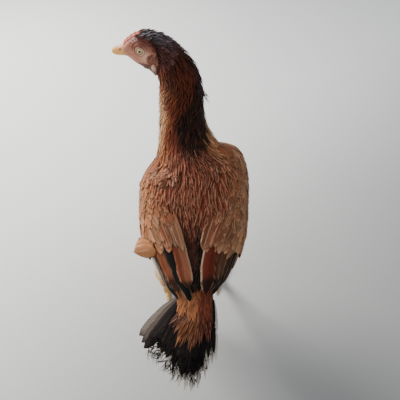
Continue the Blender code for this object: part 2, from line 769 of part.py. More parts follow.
def tail_vanes():
    """The fan of quills, and the coverts above and below them."""
    last = TAIL_VANES - 1
    quills, upper, under = [], [], []
    for k in range(TAIL_VANES):
        quills.append(vane(tail_face, (0.10, k), (1.0, k), TAIL_HALF_WIDTH, 0.0, tail_level(k), rows=5))
    for v in steps(0.0, last - 1.0, UPPER_COVERTS):
        tip = UPPER_COVERT_SHARE * (1 - 0.10 * abs(v - TAIL_TOP_VANE) / last)
        level = tail_level(v) + 0.0044
        covert = vane(tail_face, (0.04, v), (tip, v), 0.0110, -0.0090, level, pointed=True, settle=0.8)
        upper.append(covert)
    for v in steps(1.2, last - 2.0, UNDER_COVERTS):
        level = tail_level(v) - 0.0034
        end = (UNDER_COVERT_SHARE, v)
        under.append(vane(tail_face, (0.17, v), end, 0.0115, 0.0085, level, rows=4, settle=0.8))
    return quills, upper, under


def tail():
    """The tail: its core and its vanes."""
    quills, upper, under = tail_vanes()
    return fuse(tail_core(), quills + upper + under)


def thigh(name, hand):
    """Drumstick from inside the flank to the hock."""
    hip, hock = HIP[hand], HOCK[hand]
    rings = []
    for share, wide, deep in THIGH_ROWS:
        centre = hip.lerp(hock, share) + Vector((0, 0.006 * math.sin(math.pi * share), 0.0002))
        turns = [2 * math.pi * k / THIGH_SIDES for k in range(THIGH_SIDES)]
        rings.append([centre + Vector((wide * math.sin(a), deep * math.cos(a), 0)) for a in turns])
    return cut(loft(name, rings, "cinnamon plumage"), grown_torso())


def shank(name, hand):
    """Scaled shank from the hock to the foot, its front in a ladder of raised scutes."""
    hock = HOCK[hand] - Vector((0, 0, GAP))
    foot = FOOT[hand] + Vector((0, 0, SHANK_FOOT_HEIGHT))
    rings = []
    levels = [(0.0, 0.0, 1.38), (0.05, 0.0, 1.50), (0.11, 0.0, 1.30)]
    for k in range(SHANK_SCUTES):
        start, end = mix(0.15, 0.93, k / SHANK_SCUTES), mix(0.15, 0.93, (k + 1) / SHANK_SCUTES)
        levels += [(start + 0.004, SCUTE_STEP, 1.0), (end - 0.004, 0.0, 1.0)]
    levels += [(0.95, 0.0, 1.06), (1.0, 0.0, 1.12)]
    turns = [2 * math.pi * k / SHANK_SIDES for k in range(SHANK_SIDES)]
    for share, raised, swell in levels:
        centre = hock.lerp(foot, share)
        waist = swell * (1 + 0.10 * (abs(2 * share - 1) ** 2))
        ring = []
        for a in turns:
            front = raised if math.cos(a) > 0.3 else 0.0
            ring.append(
                centre
                + Vector((SHANK_WIDE * waist * math.sin(a), (SHANK_DEEP * waist + front) * math.cos(a), 0))
            )
        rings.append(ring)
    return loft(name, rings, "scaled skin")


def toe_heading(hand, degrees):
    """Level direction of a toe, for a left or right foot."""
    turn = math.radians(degrees)
    return Vector((math.sin(turn) * hand, math.cos(turn), 0))


def toe(hand, degrees, length, radius):
    """One toe with joint pads below and a ladder of scutes above."""
    root = FOOT[hand]
    along = toe_heading(hand, degrees)
    across = Vector((along.y, -along.x, 0))
    rows = 4 if length < 0.035 else 6
    rings = []
    for k in range(rows):
        for share, raised in ((k / rows + 0.01, SCUTE_STEP * 0.8), ((k + 1) / rows - 0.01, 0.0)):
            size = radius * mix(1.12, 0.70, share) * (1 + 0.07 * math.cos(2 * math.pi * share * rows / 2))
            middle = root + along * length * share + Vector((0, 0, size * 0.86 + 0.0035 * (1 - share) ** 2))
            ring = []
            for j in range(TOE_SIDES):
                a = 2 * math.pi * j / TOE_SIDES
                lift = raised if math.cos(a) > 0.5 else 0.0
                ring.append(middle + across * size * math.sin(a) + Vector((0, 0, (size + lift) * math.cos(a))))
            rings.append(ring)
    return loft("toe", rings, "scaled skin")


def foot(name, hand):
    """Four toes joined at the ball of the foot, flat below."""
    ball_middle = FOOT[hand] + Vector((0, 0, 0.0085))
    top = FOOT[hand] + Vector((0, 0, SHANK_FOOT_HEIGHT - GAP))
    turns = [2 * math.pi * k / SHANK_SIDES for k in range(SHANK_SIDES)]
    rings = []
    for level, size in ((0.0, 0.92), (0.3, 1.02), (0.7, 1.12), (1.0, 1.15)):
        centre = top.lerp(ball_middle - Vector((0, 0, 0.0095)), level)
        waist = size * 1.12
        wide, deep = SHANK_WIDE * waist, SHANK_DEEP * waist
        rings.append([centre + Vector((wide * math.sin(a), deep * math.cos(a), 0)) for a in turns])
    base = loft(name, rings, "scaled skin")
    toes = [toe(hand, degrees, length, radius) for _, degrees, length, radius in TOES]
    return flatten_soles(fuse(base, toes))


def claw(name, hand, degrees, length, radius):
    """Horny claw at the end of a toe, curved down and just clear of the ground."""
    along = toe_heading(hand, degrees)
    across = Vector((along.y, -along.x, 0))
    size = radius * 0.70
    start = FOOT[hand] + along * (length * 0.9983 + GAP * 2) + Vector((0, 0, size * 0.86 + 0.0004))
    reach = CLAW_LENGTH * (0.85 if length < 0.035 else 1.0)
    rings = []
    for share in steps(0, 0.96, 5):
        thick = size * 0.86 * (1 - share) ** 0.7
        drop = 0.0014 * share**2 * reach / CLAW_LENGTH
        centre = start + along * reach * share + Vector((0, 0, 0.0006 * math.sin(math.pi * share) - drop))
        ring = []
        for j in range(8):
            a = 2 * math.pi * j / 8
            ring.append(centre + across * thick * 0.75 * math.sin(a) + Vector((0, 0, thick * math.cos(a))))
        rings.append(ring)
    return loft(name, rings, "horn")


def legs():
    """Thighs, shanks, feet and claws of both legs."""
    for suffix, hand in (("left", -1), ("right", 1)):
        thigh("thigh_" + suffix, hand)
        shank("shank_" + suffix, hand)
        foot("foot_" + suffix, hand)
        for toe_name, degrees, length, radius in TOES:
            claw(f"claw_{toe_name}_{suffix}", hand, degrees, length, radius)


def centre_on_ground():
    """Moves the hen so that the middle of its outline stands over the origin."""
    shown = [obj for obj in bpy.data.objects if obj.type == "MESH"]
    corners = np.array([v.co for obj in shown for v in obj.data.vertices], float)
    low, high = corners.min(axis=0), corners.max(axis=0)
    shift = Vector((-(low[0] + high[0]) / 2, -(low[1] + high[1]) / 2, -low[2]))
    for obj in shown:
        for vertex in obj.data.vertices:
            vertex.co += shift
    return shift


def main():
    """Builds every piece of the hen."""
    clear_scene()
    torso()
    neck()
    head()
    eyes()
    ear_lobes()
    comb()
    bill()
    wing("wing_left", -1)
    wing("wing_right", 1)
    tail()
    legs()
    centre_on_ground()


main()
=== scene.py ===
"""Looks of a life-size Aseel hen that stands with its head turned to its left.

Lengths are in metres, +Z is up, +Y points to the hen's front and +X to its right. The skin and every feather
follow the hen's body line, the closed wings, the fan of the tail and the thighs. Feathers are thin closed
meshes that lie on those surfaces. The studio holds a pale floor with painted light falloff, soft light and
the camera.
"""

import json
import logging
import math
from collections.abc import Callable, Sequence
from dataclasses import dataclass, field
from enum import Enum

import bpy
import numpy as np
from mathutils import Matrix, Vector
from mathutils.kdtree import KDTree


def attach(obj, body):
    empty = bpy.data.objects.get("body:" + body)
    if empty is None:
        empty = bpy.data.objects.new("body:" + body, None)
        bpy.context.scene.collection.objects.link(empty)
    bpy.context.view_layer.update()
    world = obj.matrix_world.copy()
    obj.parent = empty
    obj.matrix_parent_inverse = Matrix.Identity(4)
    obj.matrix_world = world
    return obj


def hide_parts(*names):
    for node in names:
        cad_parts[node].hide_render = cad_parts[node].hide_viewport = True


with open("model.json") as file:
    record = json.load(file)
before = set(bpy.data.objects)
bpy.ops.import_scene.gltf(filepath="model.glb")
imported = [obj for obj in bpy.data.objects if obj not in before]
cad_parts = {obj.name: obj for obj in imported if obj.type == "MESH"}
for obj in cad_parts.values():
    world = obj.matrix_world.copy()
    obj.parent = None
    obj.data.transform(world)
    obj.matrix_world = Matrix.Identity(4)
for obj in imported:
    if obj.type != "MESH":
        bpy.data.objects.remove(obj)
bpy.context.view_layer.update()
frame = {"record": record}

logging.basicConfig(level=logging.INFO, format="%(message)s")
LOG = logging.getLogger("hen")

Array = np.ndarray
Piece = bpy.types.Object
Material = bpy.types.Material
Rng = np.random.Generator
Pair = tuple[float, float]
BAKE_MAP = "OFBake"
PATCH = 0.003
SEED = 41
UP = np.array((0.0, 0.0, 1.0))
HANDS = {"left": -1, "right": 1}

# Body line, from the tail root to the bill base: x, y, z of each cross-section's middle, the turn of its
# side axis away from +X in degrees, its half width, its height above the middle and its depth below it
BODY_LINE = np.array((
    (0.002, -0.112, 0.216, 0, 0.026, 0.017, 0.02),  # tail root
    (0.001, -0.09, 0.225, 0, 0.041, 0.026, 0.036),  # rump
    (0.000, -0.06, 0.236, 0, 0.056, 0.037, 0.06),  # vent
    (0.000, -0.02, 0.252, 0, 0.068, 0.05, 0.083),  # loins
    (0.000, 0.023, 0.274, 0, 0.074, 0.058, 0.095),  # ribs
    (0.000, 0.06, 0.301, 0, 0.072, 0.056, 0.093),  # breast
    (-0.01, 0.086, 0.334, 2, 0.0495, 0.046, 0.07),  # shoulders
    (-0.016, 0.098, 0.366, 8, 0.037, 0.035, 0.047),  # neck base
    (-0.018, 0.104, 0.396, 24, 0.0335, 0.0325, 0.0355),  # low neck
    (-0.018, 0.107, 0.424, 42, 0.0315, 0.0325, 0.0315),  # middle of the neck
    (-0.0205, 0.109, 0.45, 60, 0.029, 0.031, 0.0295),  # high neck
    (-0.033, 0.11, 0.472, 74, 0.026, 0.0295, 0.027),  # nape
    (-0.048, 0.1115, 0.486, 81, 0.0212, 0.029, 0.0262),  # back of the skull
    (-0.062, 0.113, 0.4915, 82, 0.0195, 0.0276, 0.0246),  # ear
    (-0.075, 0.1145, 0.4925, 82, 0.0172, 0.023, 0.019),  # eye
    (-0.086, 0.116, 0.4923, 82, 0.0122, 0.0146, 0.0132),  # lores
    (-0.094, 0.117, 0.491, 82, 0.009, 0.008, 0.0084),  # bill base
))
NAPE, EYE_STATION, BILL_BASE = 11.0, 14.0, 16.0
HEAD_SQUARE = 0.09  # how much fuller than an oval the head is between its top and its flanks

# Closed wing over the first stations of the body line: half width, height above and depth below the middle
# of its outer face, then the angles from the back's ridge of its inner and outer edge in degrees
WING_LINE = np.array((
    (0.037, 0.026, 0.032, 9, 62),
    (0.053, 0.036, 0.048, 11, 86),
    (0.071, 0.049, 0.068, 15, 104),
    (0.0835, 0.06, 0.088, 22, 114),
    (0.088, 0.066, 0.1, 31, 120),
    (0.087, 0.066, 0.098, 42, 121),
    (0.08, 0.059, 0.082, 59, 112),
    (0.056, 0.044, 0.058, 80, 104),
))
WING_FRONT, WING_CURVE = 6.02, 4.7

# Tail, from the right edge to the left: place of a quill's root across, its heading in degrees, its length
TAIL_SLOPE = math.radians(40)
TAIL_BACK = np.array((0.0, -math.cos(TAIL_SLOPE), -math.sin(TAIL_SLOPE)))
TAIL_FAN = np.array((
    (0.026, -2, 0.092),
    (0.0165, 5, 0.126),
    (0.009, 12, 0.127),
    (0.001, 21, 0.119),
    (-0.009, 34, 0.107),
    (-0.02, 46, 0.088),
))

# Legs: hand is 1 on the hen's right and -1 on its left
HIP = {-1: (-0.038, 0.028, 0.216), 1: (0.037, 0.036, 0.214)}
HOCK = {-1: (-0.052, -0.013, 0.112), 1: (0.048, 0.005, 0.112)}
FOOT = {-1: (-0.057, 0.031, 0.0), 1: (0.048, 0.052, 0.0)}
THIGH_ROWS = np.array((
    # share of the way from hip to hock, half width, half depth
    (-0.2, 0.011, 0.02),
    (-0.13, 0.0215, 0.034),
    (0.00, 0.028, 0.044),
    (0.28, 0.031, 0.043),
    (0.52, 0.027, 0.034),
    (0.76, 0.0185, 0.0215),
    (0.92, 0.0125, 0.014),
    (1.00, 0.01, 0.011),
))
# Toes: heading from the hen's front in degrees, positive to the outer side, length, root radius
TOES = {
    "hind": (-172, 0.026, 0.0046),
    "inner": (-27, 0.043, 0.0052),
    "middle": (3, 0.057, 0.0056),
    "outer": (34, 0.045, 0.0052),
}
SHORT_TOE = 0.035


def sole_shift() -> Array:
    """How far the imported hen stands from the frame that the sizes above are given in."""
    sole = next(mount for mount in frame["record"]["mounts"] if mount["name"] == "sole_left")
    return np.array(sole["pos_m"]) - np.array(FOOT[-1])


SHIFT = sole_shift()


def mix(a: Array | float, b: Array | float, share: Array | float) -> Array | float:
    """The value that lies this share of the way from a to b."""
    return a + (b - a) * share


def smooth(low: float, high: float, value: Array | float) -> Array:
    """0 below low, 1 above high, and smooth between them."""
    x = np.clip((np.asarray(value, float) - low) / (high - low), 0.0, 1.0)
    return x * x * (3 - 2 * x)


def hump(distance: Array | float, reach: float) -> Array:
    """1 at the middle of a rounded bump, falling to almost 0 at its reach."""
    return np.exp(-((2.0 * np.asarray(distance, float) / reach) ** 2))


def tube(shares: Array, sides: int) -> tuple[Array, Array]:
    """Shares along a tube and angles round it, for each of its points."""
    return np.meshgrid(shares, np.linspace(-math.pi, math.pi, sides, endpoint=False), indexing="ij")


def paired(u: Array | float, v: Array | float) -> tuple[Array, Array]:
    """Both as arrays of one shape."""
    return np.broadcast_arrays(np.asarray(u, float), np.asarray(v, float))


def unit(vectors: Array) -> Array:
    """The vectors at length one."""
    return vectors / np.maximum(np.linalg.norm(vectors, axis=-1, keepdims=True), 1e-12)


def dot(a: Array, b: Array) -> Array:
    """Dot products that keep their last axis."""
    return (a * b).sum(axis=-1, keepdims=True)


def station(table: Array, t: Array | float) -> Array:
    """Rows of a table of stations at fractional indices, on a Catmull-Rom curve.

    Args:
        table: One row of values for each station.
        t: Fractional indices into the table.

    Returns:
        The rows, with one more axis than t.
    """
    t = np.asarray(t, float)
    last = len(table) - 1
    i = np.clip(np.floor(t).astype(int), 0, last - 1)
    f = (t - i)[..., None]
    padded = np.vstack((2 * table[0] - table[1], table, 2 * table[-1] - table[-2]))
    a, b, c, d = (padded[i + k] for k in range(4))
    return 0.5 * (2 * b + (c - a) * f + (2 * a - 5 * b + 4 * c - d) * f**2 + (3 * b - a - 3 * c + d) * f**3)


def nearest(points: Array, places: Array) -> Array:
    """Index of the nearest of some places, for each point."""
    tree = KDTree(len(places))
    for index, place in enumerate(places):
        tree.insert(place, index)
    tree.balance()
    return np.array([tree.find(point)[1] for point in points])


def ink(code: str) -> Array:
    """Linear red, green and blue of a colour written as six hexadecimal digits."""
    values = np.array([int(code[k : k + 2], 16) / 255 for k in (0, 2, 4)])
    return np.where(values <= 0.04045, values / 12.92, ((values + 0.055) / 1.055) ** 2.4)


class Surface:
    """A face that feathers lie on, with places (u, v) and heights above it in metres."""

    STEP = 1e-3

    def point(self, u: Array, v: Array, high: Array | float) -> Array:
        """Points of the surface, to be given by each kind."""
        raise NotImplementedError

    def stretch(self, u: Array, v: Array) -> tuple[Array, Array]:
        """Metres for each unit of u and of v at these places."""
        e = self.STEP
        along = self.point(u + e, v, 0.0) - self.point(u - e, v, 0.0)
        across = self.point(u, v + e, 0.0) - self.point(u, v - e, 0.0)
        return np.linalg.norm(along, axis=-1) / (2 * e), np.linalg.norm(across, axis=-1) / (2 * e)

    def patch(self, u: Array, v: Array) -> Array:
        """Place of (u, v) on the unwrap of this surface."""
        raise NotImplementedError


@dataclass(frozen=True)
class Body(Surface):
    """Trunk, neck and head: u runs along the body line, v is the angle from the ridge of the back.

    Attributes:
        over_wings: Where the back rises to lie over the closed wings: degrees before their inner edge, the
            stations where that rise begins, ends and has gone, and its share. None leaves the plain body.
    """

    over_wings: tuple[float, float, float, float, float] | None = None

    @staticmethod
    def axes(t: Array | float) -> tuple[Array, Array, Array, Array]:
        """Row of sizes, side axis, upward axis and forward axis of the cross-section at t."""
        row = station(BODY_LINE, t)
        t = np.asarray(t, float)
        forward = unit(station(BODY_LINE, t + 0.01)[..., :3] - station(BODY_LINE, t - 0.01)[..., :3])
        turn = np.radians(row[..., 3])
        side = np.stack((np.cos(turn), np.sin(turn), np.zeros_like(turn)), axis=-1)
        side = unit(side - forward * dot(side, forward))
        return row, side, np.cross(side, forward), forward

    @staticmethod
    def oval(t: Array, angle: Array, half: Array, above: Array, below: Array) -> Array:
        """Points of an oval about the body line, which goes on along the tail before its first station."""
        row, side, up, _ = Body.axes(np.maximum(t, 0.0))
        behind = np.minimum(t, 0.0)
        square = (
            1 + HEAD_SQUARE * smooth(11.8, 13.2, t) * (1 - smooth(15.0, 16.2, t)) * np.sin(2 * angle) ** 2
        )
        turn, rise = np.sin(angle) * square, np.cos(angle) * square
        tall = np.where(rise > 0, above + 0.003 * behind, below)
        middle = row[..., :3] + SHIFT - TAIL_BACK * (0.024 * behind)[..., None]
        return middle + side * (half * turn)[..., None] + up * (tall * rise)[..., None]

    def point(self, u: Array, v: Array, high: Array | float) -> Array:
        """Points of the plumage's outline, raised by high."""
        u, v = paired(u, v)
        half, above, below = np.moveaxis(station(BODY_LINE, np.maximum(u, 0.0))[..., 4:7], -1, 0)
        if self.over_wings:
            wing = station(WING_LINE, np.clip(u, 0.0, 7.0))
            degrees = np.abs(np.degrees(v))
            inner = wing[..., 3]
            before, start, first, last, share = self.over_wings
            level = smooth(-before, 10, degrees - inner) * (1 - smooth(first, last, u)) * share
            level = level * smooth(start - 0.9, start, u)
            level = level * (1 - smooth(0, 26, degrees - wing[..., 4] + 6))
            half, above, below = (mix(a, wing[..., k], level) for k, a in enumerate((half, above, below)))
        return self.oval(u, v, half + high, above + high, below + high)

    def patch(self, u: Array, v: Array) -> Array:
        """Place on an unwrap that is cut along the belly."""
        return np.stack((0.5 + 0.495 * v / math.pi, 0.03 + 0.94 * u / BILL_BASE), axis=-1)


@dataclass(frozen=True)
class Wing(Surface):
    """Outer face of a closed wing: u runs along the body line, v from its inner to its outer edge."""

    hand: int

    def edges(self, t: Array | float) -> tuple[Array, Array]:
        """Angles of the inner and outer edge at t."""
        row = station(WING_LINE, t)
        return np.radians(row[..., 3]), np.radians(row[..., 4])

    def point(self, u: Array, v: Array, high: Array | float) -> Array:
        """Points of the wing's face, raised by high."""
        u, v = paired(u, v)
        inner, outer = self.edges(u)
        front = np.sqrt(np.clip(1 - smooth(WING_CURVE, WING_FRONT + 0.05, u) ** 2, 0, 1))
        angle = self.hand * mix(inner, outer, v)
        rise = np.sqrt(np.clip(1 - np.abs(2 * v - 1) ** 4, 0, 1))
        skin = Body().point(u, angle, 0.0003)
        half, above, below = np.moveaxis(station(WING_LINE, u)[..., :3], -1, 0)
        face = Body.oval(u, angle, half, above, below)
        normal = unit(face - station(BODY_LINE, u)[..., :3] - SHIFT)
        return mix(skin, face, ((0.35 + 0.65 * rise) * front)[..., None]) + normal * np.asarray(high)[
            ..., None
        ]

    def patch(self, u: Array, v: Array) -> Array:
        """Place on an unwrap of the wing's face."""
        return np.stack((0.06 + 0.88 * v, 0.04 + 0.92 * u / 7), axis=-1)


@dataclass(frozen=True)
class Tail(Surface):
    """Fan of the tail: u is the share of a quill's length, v runs from 0 at the right edge to 1 at the left.

    Attributes:
        dome: How far the middle of the fan is raised near its root, for the coverts.
    """

    dome: float = 0.0

    @staticmethod
    def axes() -> tuple[Array, Array, Array, Array]:
        """Root of the tail and its backward, right and upward axes."""
        right = np.array((1.0, 0.0, 0.0))
        return BODY_LINE[0, :3] + SHIFT, TAIL_BACK, right, np.cross(TAIL_BACK, right)

    def point(self, u: Array, v: Array, high: Array | float) -> Array:
        """Points of the fan, raised by high."""
        u, v = paired(u, v)
        root, back, right, up = self.axes()
        place, heading, length = np.moveaxis(station(TAIL_FAN, v * (len(TAIL_FAN) - 1)), -1, 0)
        fan = np.radians(heading)
        lie = back * np.cos(fan)[..., None] - right * np.sin(fan)[..., None]
        mound = self.dome * (1 - np.clip(np.abs(v - 0.4) / 0.75, 0, 1) ** 2) * (1 - smooth(0.1, 1.0, u))
        sag = -0.01 * np.abs(v - 0.42) ** 1.5
        level = np.asarray(high + mound + sag)[..., None]
        return root + right * place[..., None] + lie * (length * u)[..., None] + up * level

    def patch(self, u: Array, v: Array) -> Array:
        """Place on an unwrap of the fan."""
        return np.stack((0.05 + 0.9 * v, 0.05 + 0.85 * u), axis=-1)


@dataclass(frozen=True)
class Thigh(Surface):
    """Drumstick: u is the share from the hock up to the hip, v the angle from the hen's front."""

    hand: int

    def point(self, u: Array, v: Array, high: Array | float) -> Array:
        """Points of the drumstick's outline, raised by high."""
        u, v = paired(u, v)
        share = 1 - u
        rows = np.stack([np.interp(share, THIGH_ROWS[:, 0], THIGH_ROWS[:, k]) for k in (1, 2)], axis=-1)
        hip, hock = np.array(HIP[self.hand]), np.array(HOCK[self.hand])
        middle = hip + (hock - hip) * share[..., None] + SHIFT
        bow = 0.006 * np.sin(np.pi * share)
        wide, deep = rows[..., 0] + high, rows[..., 1] + high
        offset = np.stack((wide * np.sin(v) * self.hand, deep * np.cos(v) + bow, np.zeros_like(u)), axis=-1)
        return middle + offset

    def patch(self, u: Array, v: Array) -> Array:
        """Place on an unwrap that is cut along the back of the leg."""
        return np.stack((0.5 + 0.48 * v / math.pi, 0.1 + 0.8 * u), axis=-1)


class Palette:
    """Colours of the plumage and bare parts."""

    BLACK = ink("120e0d")
    SOOT = ink("2a201d")
    # grey black of the crown: its sheen painted into the colour
    SHEEN_BLACK = ink("47464a")
    GREY = ink("7d7066")
    WHITISH = ink("d8cfc2")
    DARK_MAHOGANY = ink("45190f")
    MAHOGANY = ink("703524")
    CHESTNUT = ink("94502c")
    CINNAMON = ink("b0683a")
    TAN = ink("c98b5f")
    GOLD = ink("cf9660")
    BUFF = ink("e0bd97")
    FACE = ink("cf8c74")
    BROW = ink("8c5242")
    # dusky throat skin, also used as painted shade under the jaw
    DUSKY_THROAT_AND_SHADE = ink("583a30")
    LID = ink("dfc197")
    # dark skin, also used as painted shade in the face's creases and eye openings
    DARK_SKIN_AND_SHADE = ink("5c332a")


def blend_to(base: Array, colour: Array, level: Array) -> Array:
    """Base colours moved towards a colour by a level from 0 to 1 at each place."""
    return mix(base, colour, np.asarray(level)[..., None])


def layered(base: Array, layers: Sequence[tuple[Array, Array]]) -> Array:
    """Base colours with layers of a colour and its level laid over them in turn."""
    for colour, level in layers:
        base = blend_to(base, colour, level)
    return base


@dataclass(frozen=True)
class Markings:
    """Markings of the plumage, the same on the skin and on the coat."""

    bare_edge: tuple[Pair, ...] = (
        # place on the body line, angle in degrees where the feathers end and the bare skin starts
        (10.9, 182), (11.2, 128), (11.6, 100), (12.0, 82), (12.4, 60), (12.8, 47),
        (13.3, 39), (13.8, 31), (14.2, 18), (14.45, 4), (14.6, -8),
    )
    cape_places: tuple[float, ...] = (5.9, 6.2, 6.5, 7.0, 8.0, 9.0, 10.0, 11.0, 12.0)
    cape: tuple[tuple[float, ...], ...] = (
        # half width of the cape in degrees, then how far its middle is turned to the right
        (2, 12, 27, 38, 50, 47, 44, 40, 34),
        (4, 12, 23, 25, 20, 38, 46, 30, 0),
    )

    def feathered(self, t: Array, angle: Array) -> Array:
        """Degrees by which a place lies inside the feathered part of the head and neck."""
        places, edges = np.array(self.bare_edge).T
        return np.interp(t, places, edges) - np.abs(np.degrees(angle))

    def body(self, t: Array, angle: Array) -> Array:
        """Colour of the plumage of the trunk, neck and crown."""
        p, turned = Palette, np.degrees(angle)
        off = np.abs(turned)
        to_right = (turned > 0)[..., None]
        high = smooth(7.8, 9.0, t)
        golden = smooth(6.0, 6.8, t) * (1 - smooth(8.6, 10.0, t))
        russet = mix(p.DARK_MAHOGANY, p.CHESTNUT, smooth(70, 120, off)[..., None] * 0.7)
        mantle = smooth(6.6, 7.4, t) * (
            1 - smooth(0, 24, np.abs(turned - 6) - 42 - 26 * smooth(8.2, 10.2, t))
        )
        cape_half, cape_turn = (np.interp(t, self.cape_places, values) for values in self.cape)
        cape = 1 - smooth(0, 12, np.abs(turned - cape_turn) - cape_half)
        root = mix(mix(p.CHESTNUT, p.TAN, 0.45), p.MAHOGANY, smooth(-14, 26, turned)[..., None])
        between = (1 - smooth(22, 34, np.abs(turned - 4))) * (1 - smooth(2.4, 3.2, t)) * smooth(0.3, 0.6, t)
        slit = (1 - smooth(5, 9, np.abs(turned - 12))) * (1 - smooth(2.5, 3.0, t)) * smooth(0.3, 0.5, t)
        waist = (1 - smooth(14, 20, np.abs(turned - 5))) * smooth(0.3, 0.5, t) * (1 - smooth(0.9, 1.5, t))
        layers = (
            # flanks and belly
            (p.CINNAMON, smooth(24, 62, off) * 0.62),
            (p.TAN, smooth(56, 96, off) * 0.75 * (1 - smooth(8, 9.5, t))),
            (p.BUFF, smooth(128, 170, off) * 0.45 * (1 - smooth(6, 8, t))),
            # shoulders, and the golden front of the neck
            (
                mix(p.TAN, p.CHESTNUT, mix(0.8, 0.35, to_right)),
                smooth(5.2, 6.0, t) * (1 - smooth(6.9, 7.6, t)) * smooth(30, 55, off),
            ),
            (mix(p.CHESTNUT, p.MAHOGANY, 0.65), smooth(7.4, 8.6, t)),
            (
                mix(p.GOLD, p.BUFF, 0.4) * 0.88,
                golden * smooth(0, 1, (off - 50 - 30 * high) / (26 - 2 * high))
            ),
            (russet, smooth(9.0, 10.0, t) * smooth(40, 80, off) * 0.95),
            # dark mahogany mantle of the neck, and the black cape and nape inside it
            (mix(p.MAHOGANY, p.DARK_MAHOGANY, smooth(7.2, 9.2, t)[..., None] * 0.72), mantle * 0.92),
            (p.BLACK, cape * smooth(5.8, 6.2, t) * 0.96),
            # cheeks, and the crown in a grey black with its sheen painted in
            (mix(p.DARK_MAHOGANY, p.SOOT, 0.5), smooth(10.2, 11.2, t) * (1 - smooth(66, 90, off)) * 0.85),
            (p.SHEEN_BLACK, smooth(11.2, 12.6, t) * (1 - smooth(26, 58, off)) * 0.9),
            # rump, and the dark slit between the wings over it: dark feathers, darkened further as painted
            # shade under the wings' inner edges
            (root, (1 - smooth(0.4, 1.2, t)) * 0.9),
            (mix(p.DARK_MAHOGANY, p.SOOT, 0.5), between * 0.92),
            (p.BLACK, slit * 0.95),
            (p.BLACK, waist * 0.95),
        )
        return layered(np.broadcast_to(p.MAHOGANY, np.broadcast(t, angle).shape + (3,)), layers)

    def shaft(self, t: Array, angle: Array) -> Array:
        """How strongly the pale streak along the shaft shows."""
        off = np.abs(np.degrees(angle))
        back = smooth(2.5, 3.4, t) * (1 - smooth(50, 84, off)) * (1 - smooth(5.9, 6.5, t))
        front = 0.45 * smooth(5.6, 6.6, t) * smooth(50, 90, off) * (1 - smooth(10, 11, t))
        return np.clip(back + front + 0.06, 0, 1)

    def wing(self, hand: int, t: Array, share: Array) -> Array:
        """Colour of the coverts of a wing, with painted light on the left wing and painted shade on the
        right.
        """
        p = Palette
        # painted light and shade: a lighter base for the left wing on the lit side, a darker, greyer one for
        # the right
        base = mix(p.TAN, p.CHESTNUT, 0.58) if hand < 0 else mix(p.TAN, ink("573325"), 0.5)
        colour = np.broadcast_to(base, np.broadcast(t, share).shape + (3,))
        colour = blend_to(colour, p.MAHOGANY, (1 - smooth(0.0, 0.4, share)) * 0.75 * smooth(1.2, 2.2, t))
        # paler buff edges towards the outer side, laid on the lit left wing only, so partly painted light
        colour = blend_to(colour, p.BUFF, smooth(0.55, 0.9, share) * 0.14 * (hand < 0))
        patch = np.sin(t * 5.1 + share * 9 + hand) * np.sin(t * 3.3 - share * 13)
        colour = blend_to(colour, mix(p.MAHOGANY, p.CHESTNUT, 0.5), smooth(0.1, 0.8, patch) * 0.5)
        return blend_to(colour, p.BUFF, smooth(0.2, 0.9, -patch) * 0.14)


class Outline(Enum):
    """Outline of a feather: width shares at the shares of its length."""

    LANCE = ((0.0, 0.35), (0.12, 0.75), (0.3, 1.0), (0.5, 0.92), (0.72, 0.62), (0.9, 0.26), (1.0, 0.03))
    ROUND = ((0.0, 0.3), (0.12, 0.62), (0.35, 0.96), (0.6, 1.0), (0.8, 0.86), (0.92, 0.56), (1.0, 0.08))
    QUILL = ((0.0, 0.35), (0.1, 0.7), (0.3, 0.96), (0.6, 1.0), (0.82, 0.9), (0.94, 0.55), (1.0, 0.05))
    STRAND = ((0.0, 1.0), (0.5, 0.75), (1.0, 0.06))

    def width(self, share: Array) -> Array:
        """Width share at shares of the length."""
        places, widths = np.array(self.value).T
        return np.interp(share, places, widths)


class Ring(Enum):
    """Points round a feather's cross-section: places across for its upper side, then for its lower side."""

    FINE = ((-1.0, -0.55, 0.0, 0.55, 1.0), (0.5, 0.0, -0.5))
    BROAD = ((-1.0, -0.72, -0.4, -0.06, 0.0, 0.06, 0.4, 0.72, 1.0), (0.6, 0.0, -0.6))
    PLAIN = ((-1.0, 0.0, 1.0), (0.0,))
    THREAD = ((-1.0, 1.0), (0.0,))

    @property
    def across(self) -> Array:
        """Places across, in the order of the ring."""
        return np.array(self.value[0] + self.value[1])

    @property
    def lower(self) -> Array:
        """1 for the points of the lower side, 0 for the others."""
        return np.array((0.0,) * len(self.value[0]) + (1.0,) * len(self.value[1]))


